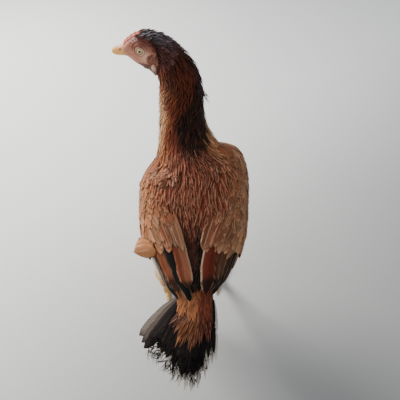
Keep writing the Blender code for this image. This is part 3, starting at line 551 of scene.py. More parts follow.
@dataclass
class Feathers:
    """One batch of feathers of like build; a value for each feather, or one number for all.

    Attributes:
        surface: What the feathers lie on.
        outline: Outline of each.
        ring: Cross-section of each.
        stations: Points along each.
        path: Places (u, v) of the shaft, feathers by stations by 2.
        half: Half width in metres.
        low: Height of the root above the surface.
        high: Height at the tip.
        tint: Colour, feathers by 3.
        streak: Strength of the pale shaft.
        seed: Random number that the material varies the feather by.
        fray: How ragged the edges are, from 0.
        roll: Rise of the edge towards larger v, for each metre of half width.
        cup: Drop of both edges, for each metre of half width.
        curl: Rise of the tip in metres, beyond high.
        splits: How many notches run in from the edges.
    """

    surface: Surface
    outline: Outline
    ring: Ring
    stations: int
    path: Array
    half: Array
    low: Array | float
    high: Array | float
    tint: Array
    streak: Array | float
    seed: Array
    fray: Array | float = 0.15
    roll: Array | float = 0.0
    cup: Array | float = 0.18
    curl: Array | float = 0.0
    splits: int = 1
    thickness: float = 0.00022
    shade: Callable[[Array, Array, Array], Array] | None = None

    @property
    def shares(self) -> Array:
        """Shares of the length at the stations."""
        return spread(self.stations)

    def sizes(self, rng: Rng) -> Array:
        """Half widths of both edges, feathers by stations by 2, with their ragged places."""
        count, s = len(self.half), self.shares
        ragged = rng.random((count, self.stations, 2)) * smooth(0.25, 1.0, s)[None, :, None]
        widths = 1 - np.reshape(self.fray, (-1, 1, 1)) * ragged
        for _ in range(self.splits):
            where = rng.integers(max(self.stations // 3, 1), max(self.stations - 1, 2), count)
            side = rng.integers(0, 2, count)
            depth = np.where(rng.random(count) < 0.55, rng.uniform(0.15, 0.6, count), 0.0)
            widths[np.arange(count), where, side] *= (
                1 - depth * np.minimum(1.0, 4 * np.broadcast_to(self.fray, count))
            )
        return widths * (np.asarray(self.half)[:, None] * self.outline.width(s))[:, :, None]

    def mesh(self, rng: Rng) -> dict[str, Array]:
        """Points, faces and attributes of the batch.

        Args:
            rng: Source of the ragged edges.

        Returns:
            Arrays by name: points, quads, caps, tint, vane, streak and uv.
        """
        across, lower = self.ring.across, self.ring.lower
        count, rows, columns = len(self.half), self.stations, len(across)
        u, v = self.path[..., 0], self.path[..., 1]
        gu, gv = self.surface.stretch(u, v)
        du, dv = np.gradient(u, axis=1) * gu, np.gradient(v, axis=1) * gv
        reach = np.maximum(np.hypot(du, dv), 1e-9)
        towards_u, towards_v = dv / reach / gu, -du / reach / gv
        edge = self.sizes(rng)
        side = np.where(across[None, None, :] < 0, edge[:, :, :1], edge[:, :, 1:])
        offset = across[None, None, :] * side
        s = self.shares[None, :, None]
        low, high, curl, roll, cup = (
            np.reshape(np.broadcast_to(x, count), (-1, 1, 1))
            for x in (self.low, self.high, self.curl, self.roll, self.cup)
        )
        level = mix(low, high, s**0.8) + curl * s**3
        level = level - cup * np.abs(across) * np.abs(offset) + roll * offset
        ridge = self.thickness * (1 - 0.6 * np.abs(across)) * (1 - 0.5 * s)
        level = level + ridge * (1 - 2 * lower)
        points = self.surface.point(
            u[:, :, None] + towards_u[:, :, None] * offset, v[:, :, None] + towards_v[:, :, None] * offset,
            level
        )
        grid = np.arange(count * rows * columns).reshape(count, rows, columns)
        a, b = grid[:, :-1, :], grid[:, 1:, :]
        quads = np.stack((a, b, np.roll(b, -1, 2), np.roll(a, -1, 2)), axis=-1).reshape(-1, 4)
        caps = np.concatenate((grid[:, 0, :], grid[:, -1, ::-1]))
        tint = np.broadcast_to(self.tint[:, None, None, :], (count, rows, columns, 3)).copy()
        along = np.broadcast_to(s, (count, rows, columns))
        wide = np.broadcast_to(across[None, None, :], (count, rows, columns))
        if self.shade:
            tint = self.shade(tint, wide, along)
        seeds = np.broadcast_to(np.reshape(self.seed, (-1, 1, 1)), (count, rows, columns))
        root = self.surface.patch(u[:, 0], v[:, 0])[:, None, None, :]
        patch = np.stack((wide, 2 * along - 1), axis=-1) * PATCH / 2
        return {
            "points": points.reshape(-1, 3),
            "quads": quads,
            "caps": caps,
            "tint": tint.reshape(-1, 3),
            "vane": np.stack((wide, along, seeds), axis=-1).reshape(-1, 3),
            "streak": np.broadcast_to(
                np.reshape(self.streak, (-1, 1, 1)), (count, rows, columns)
            ).reshape(-1),
            "uv": np.clip(root + patch, 0.001, 0.999).reshape(-1, 2),
        }


def walk(
    surface: Surface, u: Array, v: Array, heading: Array, length: Array, shares: Array, bend: Array | float,
) -> Array:
    """Paths over a surface from roots towards smaller u.

    Args:
        surface: What the paths lie on.
        u: Place of each root along the surface.
        v: Place of each root across it.
        heading: Angle towards larger v in radians.
        length: Length of each path in metres.
        shares: Shares of the length at the stations.
        bend: Turn of the heading from root to tip.

    Returns:
        Places (u, v), paths by stations by 2.
    """
    path, last = [], 0.0
    u, v = np.array(u, float), np.array(v, float)
    for share in shares:
        gu, gv = surface.stretch(u, v)
        turn, step = heading + bend * share, (share - last) * length
        u, v = u - np.cos(turn) * step / gu, v + np.sin(turn) * step / gv
        path.append(np.stack((u, v), axis=-1))
        last = share
    return np.stack(path, axis=1)


def scatter(
    surface: Surface, first: float, last: float, left: float, right: float, row_gap: float, gap: float,
    rng: Rng,
) -> tuple[Array, Array]:
    """Roots in offset rows over a part of a surface, evenly spaced in metres.

    Args:
        surface: What the feathers grow from.
        first: Lowest u.
        last: Highest u.
        left: Lowest v.
        right: Highest v.
        row_gap: Metres between rows.
        gap: Metres between the roots in a row.
        rng: Source of the small shifts.

    Returns:
        The places u and v of the roots.
    """
    fine = np.linspace(left, right, 60)
    u, us, vs, odd = first, [], [], 0
    while u < last:
        gu, gv = surface.stretch(np.full_like(fine, u), fine)
        run = np.concatenate(([0.0], np.cumsum((gv[1:] + gv[:-1]) / 2 * np.diff(fine))))
        count = max(int(run[-1] / gap), 1)
        marks = (np.arange(count) + 0.25 + 0.5 * odd) / count * run[-1]
        places = np.interp(marks + rng.normal(0, 0.12 * gap, count), run, fine)
        vs.append(places)
        us.append(u + rng.normal(0, 0.16, count) * row_gap / gu.mean())
        u += row_gap / gu.mean()
        odd = 1 - odd
    return np.concatenate(us), np.concatenate(vs)


class Wire:
    """A number that runs between shader nodes, with the arithmetic operators."""

    def __init__(self, shader: "Shader", socket: bpy.types.NodeSocket) -> None:
        """Keeps the shader and the socket that gives the number."""
        self.shader, self.socket = shader, socket

    def _maths(self, operation: str, *values: "Wire | float") -> "Wire":
        """A Math node on these values."""
        made = self.shader.node("ShaderNodeMath", {"operation": operation}, dict(enumerate(values)))
        return Wire(self.shader, made.outputs[0])

    def __add__(self, other: "Wire | float") -> "Wire":
        """Sum."""
        return self._maths("ADD", self, other)

    __radd__ = __add__

    def __sub__(self, other: "Wire | float") -> "Wire":
        """Difference."""
        return self._maths("SUBTRACT", self, other)

    def __rsub__(self, other: "Wire | float") -> "Wire":
        """Difference from a number."""
        return self._maths("SUBTRACT", other, self)

    def __mul__(self, other: "Wire | float") -> "Wire":
        """Product."""
        return self._maths("MULTIPLY", self, other)

    __rmul__ = __mul__

    def __abs__(self) -> "Wire":
        """Size without its sign."""
        return self._maths("ABSOLUTE", self)

    def ramp(self, low: float, high: float) -> "Wire":
        """0 below low, 1 above high, and smooth between them."""
        made = self.shader.node(
            "ShaderNodeMapRange", {"interpolation_type": "SMOOTHSTEP"},
            {"Value": self, "From Min": low, "From Max": high},
        )
        return Wire(self.shader, made.outputs["Result"])


class Shader:
    """One material's nodes."""

    def __init__(self, name: str, **constants: object) -> None:
        """Makes a Principled material and sets what is the same all over it.

        Args:
            name: Name of the material.
            **constants: Values of sockets, with underscores for spaces in their names.
        """
        self.material = bpy.data.materials.new(name)
        self.material.use_nodes = True
        self.tree = self.material.node_tree
        self.surface = self.tree.nodes["Principled BSDF"]
        for socket, value in constants.items():
            self.surface.inputs[socket.replace("_", " ")].default_value = value

    def node(self, kind: str, settings: dict[str, object], sockets: dict[object, object]) -> bpy.types.Node:
        """Adds a node.

        Args:
            kind: Its type.
            settings: Its own settings, set before its sockets.
            sockets: Values, Wires or output sockets, by input name or index.

        Returns:
            The node.
        """
        made = self.tree.nodes.new(kind)
        for key, value in settings.items():
            setattr(made, key, value)
        for key, value in sockets.items():
            if isinstance(value, Wire):
                value = value.socket
            if isinstance(value, bpy.types.NodeSocket):
                self.tree.links.new(value, made.inputs[key])
            else:
                made.inputs[key].default_value = value
        return made

    def wire(
        self, kind: str, settings: dict[str, object], sockets: dict[object, object], output: str
    ) -> Wire:
        """Adds a node and gives one of its outputs."""
        return Wire(self, self.node(kind, settings, sockets).outputs[output])

    def attribute(self, name: str, output: str = "Fac") -> Wire:
        """A value that the mesh carries."""
        return self.wire("ShaderNodeAttribute", {"attribute_name": name}, {}, output)

    def split(self, vector: Wire) -> tuple[Wire, Wire, Wire]:
        """The three numbers of a vector."""
        made = self.node("ShaderNodeSeparateXYZ", {}, {0: vector})
        return tuple(Wire(self, output) for output in made.outputs)

    def place(self) -> Wire:
        """Object coordinates."""
        return self.wire("ShaderNodeTexCoord", {}, {}, "Object")

    def noise(self, vector: Wire, scale: float, detail: float = 2.0, roughness: float = 0.5) -> Wire:
        """Noise from 0 to 1."""
        sockets = {"Vector": vector, "Scale": scale, "Detail": detail, "Roughness": roughness}
        return self.wire("ShaderNodeTexNoise", {}, sockets, "Fac")

    def cells(self, vector: Wire, scale: float) -> Wire:
        """Distance from the middle of each cell."""
        return self.wire("ShaderNodeTexVoronoi", {}, {"Vector": vector, "Scale": scale}, "Distance")

    def vector(self, x: "Wire | float", y: "Wire | float", z: "Wire | float") -> Wire:
        """A vector from three numbers."""
        return self.wire("ShaderNodeCombineXYZ", {}, {0: x, 1: y, 2: z}, "Vector")

    def mixed(self, share: Wire, a: object, b: object) -> Wire:
        """Colour this share of the way from a to b."""
        colours = [tuple(c) + (1.0,) if isinstance(c, np.ndarray) else c for c in (a, b)]
        sockets = {"Factor": share, 6: colours[0], 7: colours[1]}
        made = self.node("ShaderNodeMix", {"data_type": "RGBA"}, sockets)
        return Wire(self, made.outputs[2])

    def scaled(self, colour: Wire, level: Wire) -> Wire:
        """Colour made lighter or darker."""
        return self.wire(
            "ShaderNodeVectorMath", {"operation": "SCALE"}, {0: colour, "Scale": level}, "Vector"
        )

    def colour(self, value: Wire) -> None:
        """Feeds the base colour."""
        self.tree.links.new(value.socket, self.surface.inputs["Base Color"])

    def roughness(self, value: Wire) -> None:
        """Feeds the roughness."""
        self.tree.links.new(value.socket, self.surface.inputs["Roughness"])

    def relief(self, height: Wire, strength: float, distance: float) -> None:
        """Feeds the normal from a height through a Bump node."""
        made = self.node(
            "ShaderNodeBump", {}, {"Height": height, "Strength": strength, "Distance": distance}
        )
        self.tree.links.new(made.outputs["Normal"], self.surface.inputs["Normal"])


@dataclass(frozen=True)
class PlumageFinish:
    """Finish of feathers: barbs along both vanes, a pale shaft and paler worn tips.

    Attributes:
        name: Name of the material.
        barbs: Barbs along one feather.
        rough: Roughness.
        gloss: Level of the mirrored light.
        wear: How much paler the worn edge is.
        contrast: How much light and dark barbs differ.
    """

    name: str
    barbs: float = 46.0
    rough: float = 0.62
    gloss: float = 0.1
    wear: float = 0.35
    contrast: float = 0.55

    def material(self) -> Material:
        """Makes the material."""
        shader = Shader(self.name, Roughness=self.rough, Specular_IOR_Level=self.gloss)
        vane = shader.attribute("vane", "Vector")
        x, y, seed = shader.split(vane)
        side = abs(x)
        barb = y * self.barbs - side * (self.barbs * 0.22)
        fine = shader.noise(shader.vector(barb, side * 1.6, seed * 37.0), 1.0, 2.0, 0.6)
        clump = shader.noise(shader.vector(barb * 0.24, side * 0.9, seed * 53.0 + 9.0), 1.0, 1.0)
        cloud = shader.noise(shader.place(), 34.0, 2.0)
        tint = shader.attribute("tint", "Color")
        streak = shader.attribute("streak")
        level = 1.0 - self.contrast / 2 + fine * self.contrast
        level = level * (0.8 + clump * 0.4) * (0.8 + seed * 0.4) * (0.86 + cloud * 0.28)
        worn = side.ramp(0.62, 1.0) * y.ramp(0.25, 0.8) * self.wear
        pale = shader.mixed(worn * clump.ramp(0.35, 0.7), tint, Palette.BUFF)
        shaft = (1.0 - side.ramp(0.035, 0.17)) * y.ramp(0.12, 0.5) * streak
        base = shader.mixed(shaft * (0.55 + fine * 0.6), shader.scaled(pale, level), Palette.BUFF)
        shader.colour(base)
        quill = (1.0 - side.ramp(0.0, 0.12)) * 0.8
        shader.relief(fine + quill, 0.5, 0.0004)
        return shader.material


@dataclass(frozen=True)
class SkinFinish:
    """Finish of the skin: bare and warm on the face, the plumage's own colours below the coat."""

    name: str = "bare skin"

    def material(self) -> Material:
        """Makes the material."""
        shader = Shader(self.name, Subsurface_Weight=0.12, Subsurface_Scale=0.004, Specular_IOR_Level=0.28)
        place = shader.place()
        tint = shader.attribute("tint", "Color")
        bare = shader.attribute("bare")
        blotch = shader.noise(place, 210.0, 3.0, 0.6)
        grain = shader.noise(place, 900.0, 2.0, 0.6)
        pores = shader.cells(place, 1150.0)
        level = 0.78 + blotch * 0.34 + grain * 0.12
        skin = shader.scaled(tint, level)
        redder = shader.mixed((blotch.ramp(0.52, 0.72)) * bare * 0.45, skin, ink("a0483e"))
        shader.colour(shader.mixed(pores.ramp(0.55, 0.95) * bare * 0.25, redder, ink("7c4038")))
        shader.roughness(0.72 - bare * 0.24 + grain * 0.1)
        shader.relief(pores * 0.6 + blotch * 0.9 + grain * 0.25, 0.35, 0.0005)
        return shader.material


@dataclass(frozen=True)
class CombFinish:
    """Finish of the comb and ear lobes: warty skin."""

    name: str
    tint: tuple[float, float, float]
    deep: tuple[float, float, float]

    def material(self) -> Material:
        """Makes the material."""
        shader = Shader(self.name, Subsurface_Weight=0.15, Subsurface_Scale=0.003, Specular_IOR_Level=0.18)
        place = shader.place()
        wart = shader.cells(place, 900.0)
        blotch = shader.noise(place, 320.0, 3.0)
        base = shader.mixed(blotch.ramp(0.35, 0.7), np.array(self.tint), np.array(self.deep))
        shader.colour(shader.scaled(base, 0.92 + wart * 0.16))
        shader.roughness(0.6 + blotch * 0.2)
        shader.relief(wart * 0.4 + blotch, 0.3, 0.0005)
        return shader.material


@dataclass(frozen=True)
class HornFinish:
    """Finish of the bill and claws: layered horn, darker along the ridge and worn at the tip, and painted
    shade in the nostril pits.
    """

    name: str
    pale: tuple[float, float, float]
    dark: tuple[float, float, float]

    def material(self) -> Material:
        """Makes the material."""
        shader = Shader(self.name, Specular_IOR_Level=0.35)
        place = shader.place()
        x, y, z = shader.split(place)
        grain = shader.noise(shader.vector(x * 0.35, y, z * 2.2), 620.0, 3.0)
        cloud = shader.noise(place, 260.0, 2.0)
        ridge = shader.attribute("ridge")
        share = ridge * 0.75 + cloud.ramp(0.45, 0.8) * 0.35
        base = shader.mixed(share, np.array(self.pale), np.array(self.dark))
        base = shader.mixed(shader.attribute("cere"), base, ink("dd9c85"))
        shader.colour(shader.scaled(base, 0.9 + grain * 0.26))
        shader.roughness(0.36 + grain * 0.25)
        shader.relief(grain, 0.25, 0.0003)
        return shader.material


@dataclass(frozen=True)
class ScaleFinish:
    """Finish of the shanks and feet: yellow scales with darker seams and a little dust."""

    name: str = "leg scales"

    def material(self) -> Material:
        """Makes the material."""
        shader = Shader(self.name, Specular_IOR_Level=0.45)
        place = shader.place()
        seam = shader.attribute("seam")
        cloud = shader.noise(place, 120.0, 3.0)
        grain = shader.noise(place, 1300.0, 2.0)
        base = shader.mixed(cloud.ramp(0.4, 0.75), ink("c9a25c"), ink("b58a4c"))
        base = shader.mixed(seam.ramp(0.25, 0.95) * 0.75, base, ink("6d5136"))
        shader.colour(shader.scaled(base, 0.85 + grain * 0.3))
        shader.roughness(0.42 + grain * 0.25)
        shader.relief(grain + cloud, 0.3, 0.0003)
        return shader.material


@dataclass(frozen=True)
class EyeFinish:
    """Finish of an eyeball: a pearl iris with fine rays and a small black pupil under a wet cornea."""

    name: str = "eye"
    pupil: float = 0.34
    iris: float = 0.9

    def material(self) -> Material:
        """Makes the material; the mesh carries how far each point lies from the pupil's middle."""
        shader = Shader(self.name, Roughness=0.16, Coat_Weight=0.35, Coat_Roughness=0.05)
        far = shader.attribute("far")
        rays = shader.noise(shader.place(), 1900.0, 3.0)
        iris = shader.mixed(rays.ramp(0.3, 0.7), ink("c6ab7c"), ink("efdcb2"))
        iris = shader.mixed(far.ramp(self.iris - 0.13, self.iris), iris, ink("3f2c22"))
        shader.colour(
            shader.mixed(1.0 - far.ramp(self.pupil - 0.03, self.pupil + 0.03), iris, ink("0a0808"))
        )
        return shader.material


@dataclass(frozen=True)
class PaintedFalloffFloorFinish:
    """Finish of the pale floor, with painted light falloff: lighter towards the back and left, darker
    towards the right and front.
    """

    name: str = "floor"

    def material(self) -> Material:
        """Makes the material."""
        shader = Shader(self.name, Roughness=0.85, Specular_IOR_Level=0.2)
        x, y, _ = shader.split(shader.place())
        cloud = shader.noise(shader.place(), 2.2, 3.0)
        # painted light falloff: darker towards the right and the front, away from the key light, with faint
        # cloudy variation
        share = (x * 0.4 - y * 0.5 + cloud * 0.05).ramp(-0.3, 0.28)
        shader.colour(shader.mixed(share, ink("eaebe9"), ink("9b9c9a")))
        return shader.material


class Bench:
    """Modelling by hand: operators on one selected object, and new meshes from arrays."""

    @staticmethod
    def pick(piece: Piece | None) -> None:
        """Selects nothing but this piece."""
        for other in bpy.context.selected_objects:
            other.select_set(False)
        bpy.context.view_layer.objects.active = piece
        if piece:
            piece.select_set(True)

    @classmethod
    def rolled(cls, name: str, rings: Array, closed: bool = True) -> Piece:
        """A tube through rings of points: a grid that is rolled up, merged along its seam and capped.

        Args:
            name: Name of the piece.
            rings: Points, rings by sides by 3.
            closed: Whether both ends are filled.

        Returns:
            The piece, with its faces outwards.
        """
        rows, sides = rings.shape[:2]
        cls.pick(None)
        bpy.ops.mesh.primitive_grid_add(x_subdivisions=sides, y_subdivisions=rows - 1, size=1)
        piece = bpy.context.object
        piece.name = piece.data.name = name
        flat = np.array([v.co for v in piece.data.vertices])
        column = np.rint((flat[:, 0] + 0.5) * sides).astype(int) % sides
        row = np.rint((flat[:, 1] + 0.5) * (rows - 1)).astype(int)
        piece.data.vertices.foreach_set("co", rings[row, column].astype(np.float32).ravel())
        bpy.ops.object.mode_set(mode="EDIT")
        bpy.ops.mesh.select_all(action="SELECT")
        bpy.ops.mesh.remove_doubles(threshold=1e-7)
        if closed:
            bpy.ops.mesh.fill_holes(sides=0)
        bpy.ops.mesh.select_all(action="SELECT")
        bpy.ops.mesh.normals_make_consistent(inside=False)
        bpy.ops.object.mode_set(mode="OBJECT")
        cls.pick(None)
        return piece

    @classmethod
    def ball(cls, name: str, middle: Array, radius: float, segments: int, rings: int) -> Piece:
        """A sphere whose poles lie on the hen's side to side axis, its place in its mesh."""
        cls.pick(None)
        turned = (0.0, math.radians(90), 0.0)
        bpy.ops.mesh.primitive_uv_sphere_add(
            segments=segments, ring_count=rings, radius=radius, location=tuple(middle), rotation=turned
        )
        piece = bpy.context.object
        piece.name = piece.data.name = name
        bpy.ops.object.transform_apply(location=True, rotation=True, scale=True)
        cls.pick(None)
        return piece

    @classmethod
    def apply(cls, piece: Piece, kind: str, **settings: object) -> None:
        """Adds a modifier with these settings and applies it."""
        cls.pick(piece)
        modifier = piece.modifiers.new(kind.lower(), kind)
        for key, value in settings.items():
            setattr(modifier, key, value)
        bpy.ops.object.modifier_apply(modifier=modifier.name)
        cls.pick(None)

    @classmethod
    def join(cls, base: Piece, others: Sequence[Piece]) -> Piece:
        """Joins other pieces to the base by Boolean unions, and removes them."""
        for other in others:
            cls.apply(base, "BOOLEAN", operation="UNION", solver="MANIFOLD", object=other)
            bpy.data.objects.remove(other)
        return base

    @staticmethod
    def points(piece: Piece) -> Array:
        """Places of a piece's points."""
        values = np.empty(len(piece.data.vertices) * 3, np.float32)
        piece.data.vertices.foreach_get("co", values)
        return values.reshape(-1, 3).astype(float)

    @staticmethod
    def move(piece: Piece, points: Array) -> None:
        """Gives the piece's points new places."""
        piece.data.vertices.foreach_set("co", points.astype(np.float32).ravel())
        piece.data.update()

    @staticmethod
    def carry(piece: Piece, name: str, values: Array) -> None:
        """Stores a number, a vector or a colour at each point of the piece."""
        if values.ndim == 1:
            made = piece.data.attributes.new(name, "FLOAT", "POINT")
            made.data.foreach_set("value", values.astype(np.float32))
        elif name == "tint":
            rgba = np.concatenate((values, np.ones((len(values), 1))), axis=1)
            made = piece.data.attributes.new(name, "FLOAT_COLOR", "POINT")
            made.data.foreach_set("color", rgba.astype(np.float32).ravel())
        else:
            made = piece.data.attributes.new(name, "FLOAT_VECTOR", "POINT")
            made.data.foreach_set("vector", values.astype(np.float32).ravel())

    @classmethod
    def plumage(cls, name: str, parts: Sequence[dict[str, Array]]) -> Piece:
        """One mesh from batches of feathers, with its attributes and its map for the bake."""
        starts = np.cumsum([0] + [len(part["points"]) for part in parts])
        loops, totals = [], []
        for part, start in zip(parts, starts):
            for key in ("quads", "caps"):
                faces = part[key] + start
                loops.append(faces.ravel())
                totals.append(np.full(len(faces), faces.shape[1]))
        points, tint, vane, streak, uv = (
            np.concatenate([part[key] for part in parts])
            for key in ("points", "tint", "vane", "streak", "uv")
        )
        corner, total = np.concatenate(loops), np.concatenate(totals)
        mesh = bpy.data.meshes.new(name)
        mesh.vertices.add(len(points))
        mesh.vertices.foreach_set("co", points.astype(np.float32).ravel())
        mesh.loops.add(len(corner))
        mesh.loops.foreach_set("vertex_index", corner.astype(np.int32))
        mesh.polygons.add(len(total))
        mesh.polygons.foreach_set("loop_start", (np.cumsum(total) - total).astype(np.int32))
        mesh.update(calc_edges=True)
        layer = mesh.uv_layers.new(name=BAKE_MAP)
        layer.uv.foreach_set("vector", uv[corner].astype(np.float32).ravel())
        piece = bpy.data.objects.new(name, mesh)
        bpy.context.scene.collection.objects.link(piece)
        for key, values in (("tint", tint), ("vane", vane), ("streak", streak)):
            cls.carry(piece, key, values)
        return piece


def dress(piece: Piece, material: Material, slot: str, *nodes: str) -> Piece:
    """Shades a piece smooth, gives it its material and body, hides the parts that it stands for, and reports
    it.
    """
    piece.data.shade_smooth()
    piece.data.materials.clear()
    piece.data.materials.append(material)
    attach(piece, "root")
    if nodes:
        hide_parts(*nodes)
    triangles = sum(len(face.vertices) - 2 for face in piece.data.polygons)
    LOG.info("%s: %d triangles", piece.name, triangles)
    return piece


@dataclass
class HeadShape:
    """Relief of the head about the middle between its eyes."""

    eye_radius: float = 0.006
    eye_side: float = 0.0126
    eye_up: float = 0.0062
    eye_back: float = 0.0052
    opening: Pair = (0.0045, 0.0041)
    slant: float = math.radians(38)
    lid: float = 0.0005
    ear_back: float = 0.0182
    ear_down: float = 0.0042
    middle: Array = field(init=False)
    forward: Array = field(init=False)
    side: Array = field(init=False)
    up: Array = field(init=False)

    def __post_init__(self) -> None:
        """Works out the head's axes."""
        row, self.side, self.up, self.forward = Body.axes(EYE_STATION)
        self.middle = row[:3] + SHIFT - self.forward * self.eye_back

    def eye_middle(self, hand: int) -> Array:
        """Middle of an eyeball."""
        return self.middle + self.side * hand * self.eye_side + self.up * self.eye_up

    def local(self, points: Array) -> tuple[Array, Array, Array]:
        """How far points lie ahead, to the right and above the head's middle."""
        offset = points - self.middle
        return offset @ self.forward, offset @ self.side, offset @ self.up

    def carve(self, points: Array) -> Array:
        """The points of the skin with the head's relief added."""
        ahead, out, high = self.local(points)
        sign, wide = np.sign(out), np.abs(out)
        flank = smooth(0.003, 0.007, wide)
        move = 0.0026 * hump(np.hypot(ahead / 1.6, high - self.eye_up - 0.008), 0.008)
        move += 0.001 * hump(np.hypot(ahead / 1.7 + 0.003, high - self.eye_up + 0.0098), 0.0056)
        move -= 0.0012 * hump(np.hypot(ahead, high - self.eye_up), 0.015)
        move -= 0.0012 * hump(np.hypot(ahead - 0.016, high - 0.001), 0.01)
        ear = np.hypot(ahead + self.ear_back, (high + self.ear_down) / 1.15)
        move += 0.001 * hump(ear, 0.011) - 0.0012 * hump(ear, 0.003)
        mouth = high + 0.0032 + 0.1 * (ahead - 0.017)
        reach = smooth(0.008, 0.013, ahead)
        move -= 0.0011 * hump(mouth, 0.0016) * reach
        move += 0.0005 * hump(mouth - 0.0016, 0.0022) * reach + 0.0005 * hump(mouth + 0.0016, 0.0022) * reach
        move += self.wrinkles(points) * 0.0005
        points = points + self.side * ((move * flank) * sign)[:, None]
        return self.lids(points)

    def wrinkles(self, points: Array) -> Array:
        """Folds of the bare skin from -1 to 1, round the eyes, on the brow and on the throat."""
        ahead, _, high = self.local(points)
        ring, around = np.hypot(ahead, high - self.eye_up), np.arctan2(high - self.eye_up, ahead)
        near = hump(ring - 0.0105, 0.0075)
        folds = 0.45 * np.sin(ring * 3900 + 1.6 * np.sin(3 * around)) * near
        arcs = np.sin(ring * 1650 - 1.2 + 0.7 * np.sin(2 * around + 1)) * near * smooth(-0.004, 0.006, high)
        jowl = np.sin(ahead * 1500 + high * 900 + 2 * np.sin(high * 500)) * smooth(0.002, 0.01, -high)
        crease = np.sin(high * 1900 + 1.5 * np.sin(ahead * 420)) * smooth(0.009, 0.015, high)
        return folds + arcs + (0.5 * jowl + 0.7 * crease) * smooth(-0.035, -0.005, ahead)

    def rim(self, ahead: Array, high: Array) -> Array:
        """Share of the way from the eye's middle to the slanting rim of its opening."""
        long = ahead * math.cos(self.slant) + high * math.sin(self.slant)
        short = high * math.cos(self.slant) - ahead * math.sin(self.slant)
        return np.hypot(long / self.opening[0], short / self.opening[1])

    def lids(self, points: Array) -> Array:
        """The points with the skin drawn over the eyeballs, and sunk behind them in the opening."""
        ahead, out, high = self.local(points)
        sign, wide = np.sign(out), np.abs(out)
        lift = high - self.eye_up + 0.0002
        ring = self.rim(ahead, lift)
        far = np.hypot(ahead, lift)
        cover = self.eye_radius + self.lid
        dome = self.eye_side + np.sqrt(np.clip(cover**2 - far**2, 0, None))
        sunk = self.eye_side + np.sqrt(np.clip((self.eye_radius - 0.0011) ** 2 - far**2, 0, None))
        lidded = np.maximum(wide, dome)
        target = mix(sunk, lidded, smooth(0.9, 1.02, ring))
        near = (far < 0.0085) & (wide > 0.008)
        new = np.where(near, target, wide)
        return points + self.side * ((new - wide) * sign)[:, None]

    def tints(self, points: Array) -> Array:
        """Colours of the bare skin of the face and throat, with painted shade in its creases, in the eye
        openings and under the jaw.
        """
        ahead, _, high = self.local(points)
        p, lift = Palette, high - self.eye_up
        folds = smooth(0.1, 0.9, -self.wrinkles(points))
        ear = hump(np.hypot(ahead + self.ear_back, high + self.ear_down), 0.017)
        ring = self.rim(ahead, lift)
        cheek = hump(np.hypot(ahead + 0.0078, (high + 0.0005) / 1.3), 0.0135)
        lore = hump(np.hypot((ahead - 0.015) / 1.4, high - 0.004), 0.011)
        jaw = smooth(0.0095, 0.0125, -high) * (1 - smooth(-0.004, 0.01, ahead))
        return layered(np.broadcast_to(p.FACE, (len(points), 3)), (
            (p.BROW, smooth(0.003, 0.009, high) * (1 - smooth(0.014, 0.024, ahead)) * 0.95),
            # painted shade in the creases of the wrinkles, stronger on the brow
            (p.DARK_SKIN_AND_SHADE, folds * mix(0.36, 0.75, smooth(0.003, 0.009, high))),
            (p.BROW, ear * 0.9),
            (ink("9b5146"), hump(ring - 1.55, 0.7) * smooth(-0.004, 0.004, lift) * 0.6),
            (ink("f2bfa4"), cheek * 0.85),
            (p.LID, (1 - smooth(1.38, 1.5, ring)) * 0.9),
            # painted shade on the skin sunk behind the eyeball inside the lid's opening
            (p.DARK_SKIN_AND_SHADE, (1 - smooth(1.02, 1.1, ring)) * 0.85),
            (p.DARK_SKIN_AND_SHADE, hump(ring - 1.6, 0.3) * 0.75),
            (ink("ab7058"), lore * 0.7),
            (ink("6e3d2f"), smooth(0.012, 0.017, high) * 0.7),
            # dusky throat skin, darkened further as painted shade along the underside of the jaw
            (p.DUSKY_THROAT_AND_SHADE, jaw * 0.95),
        ))


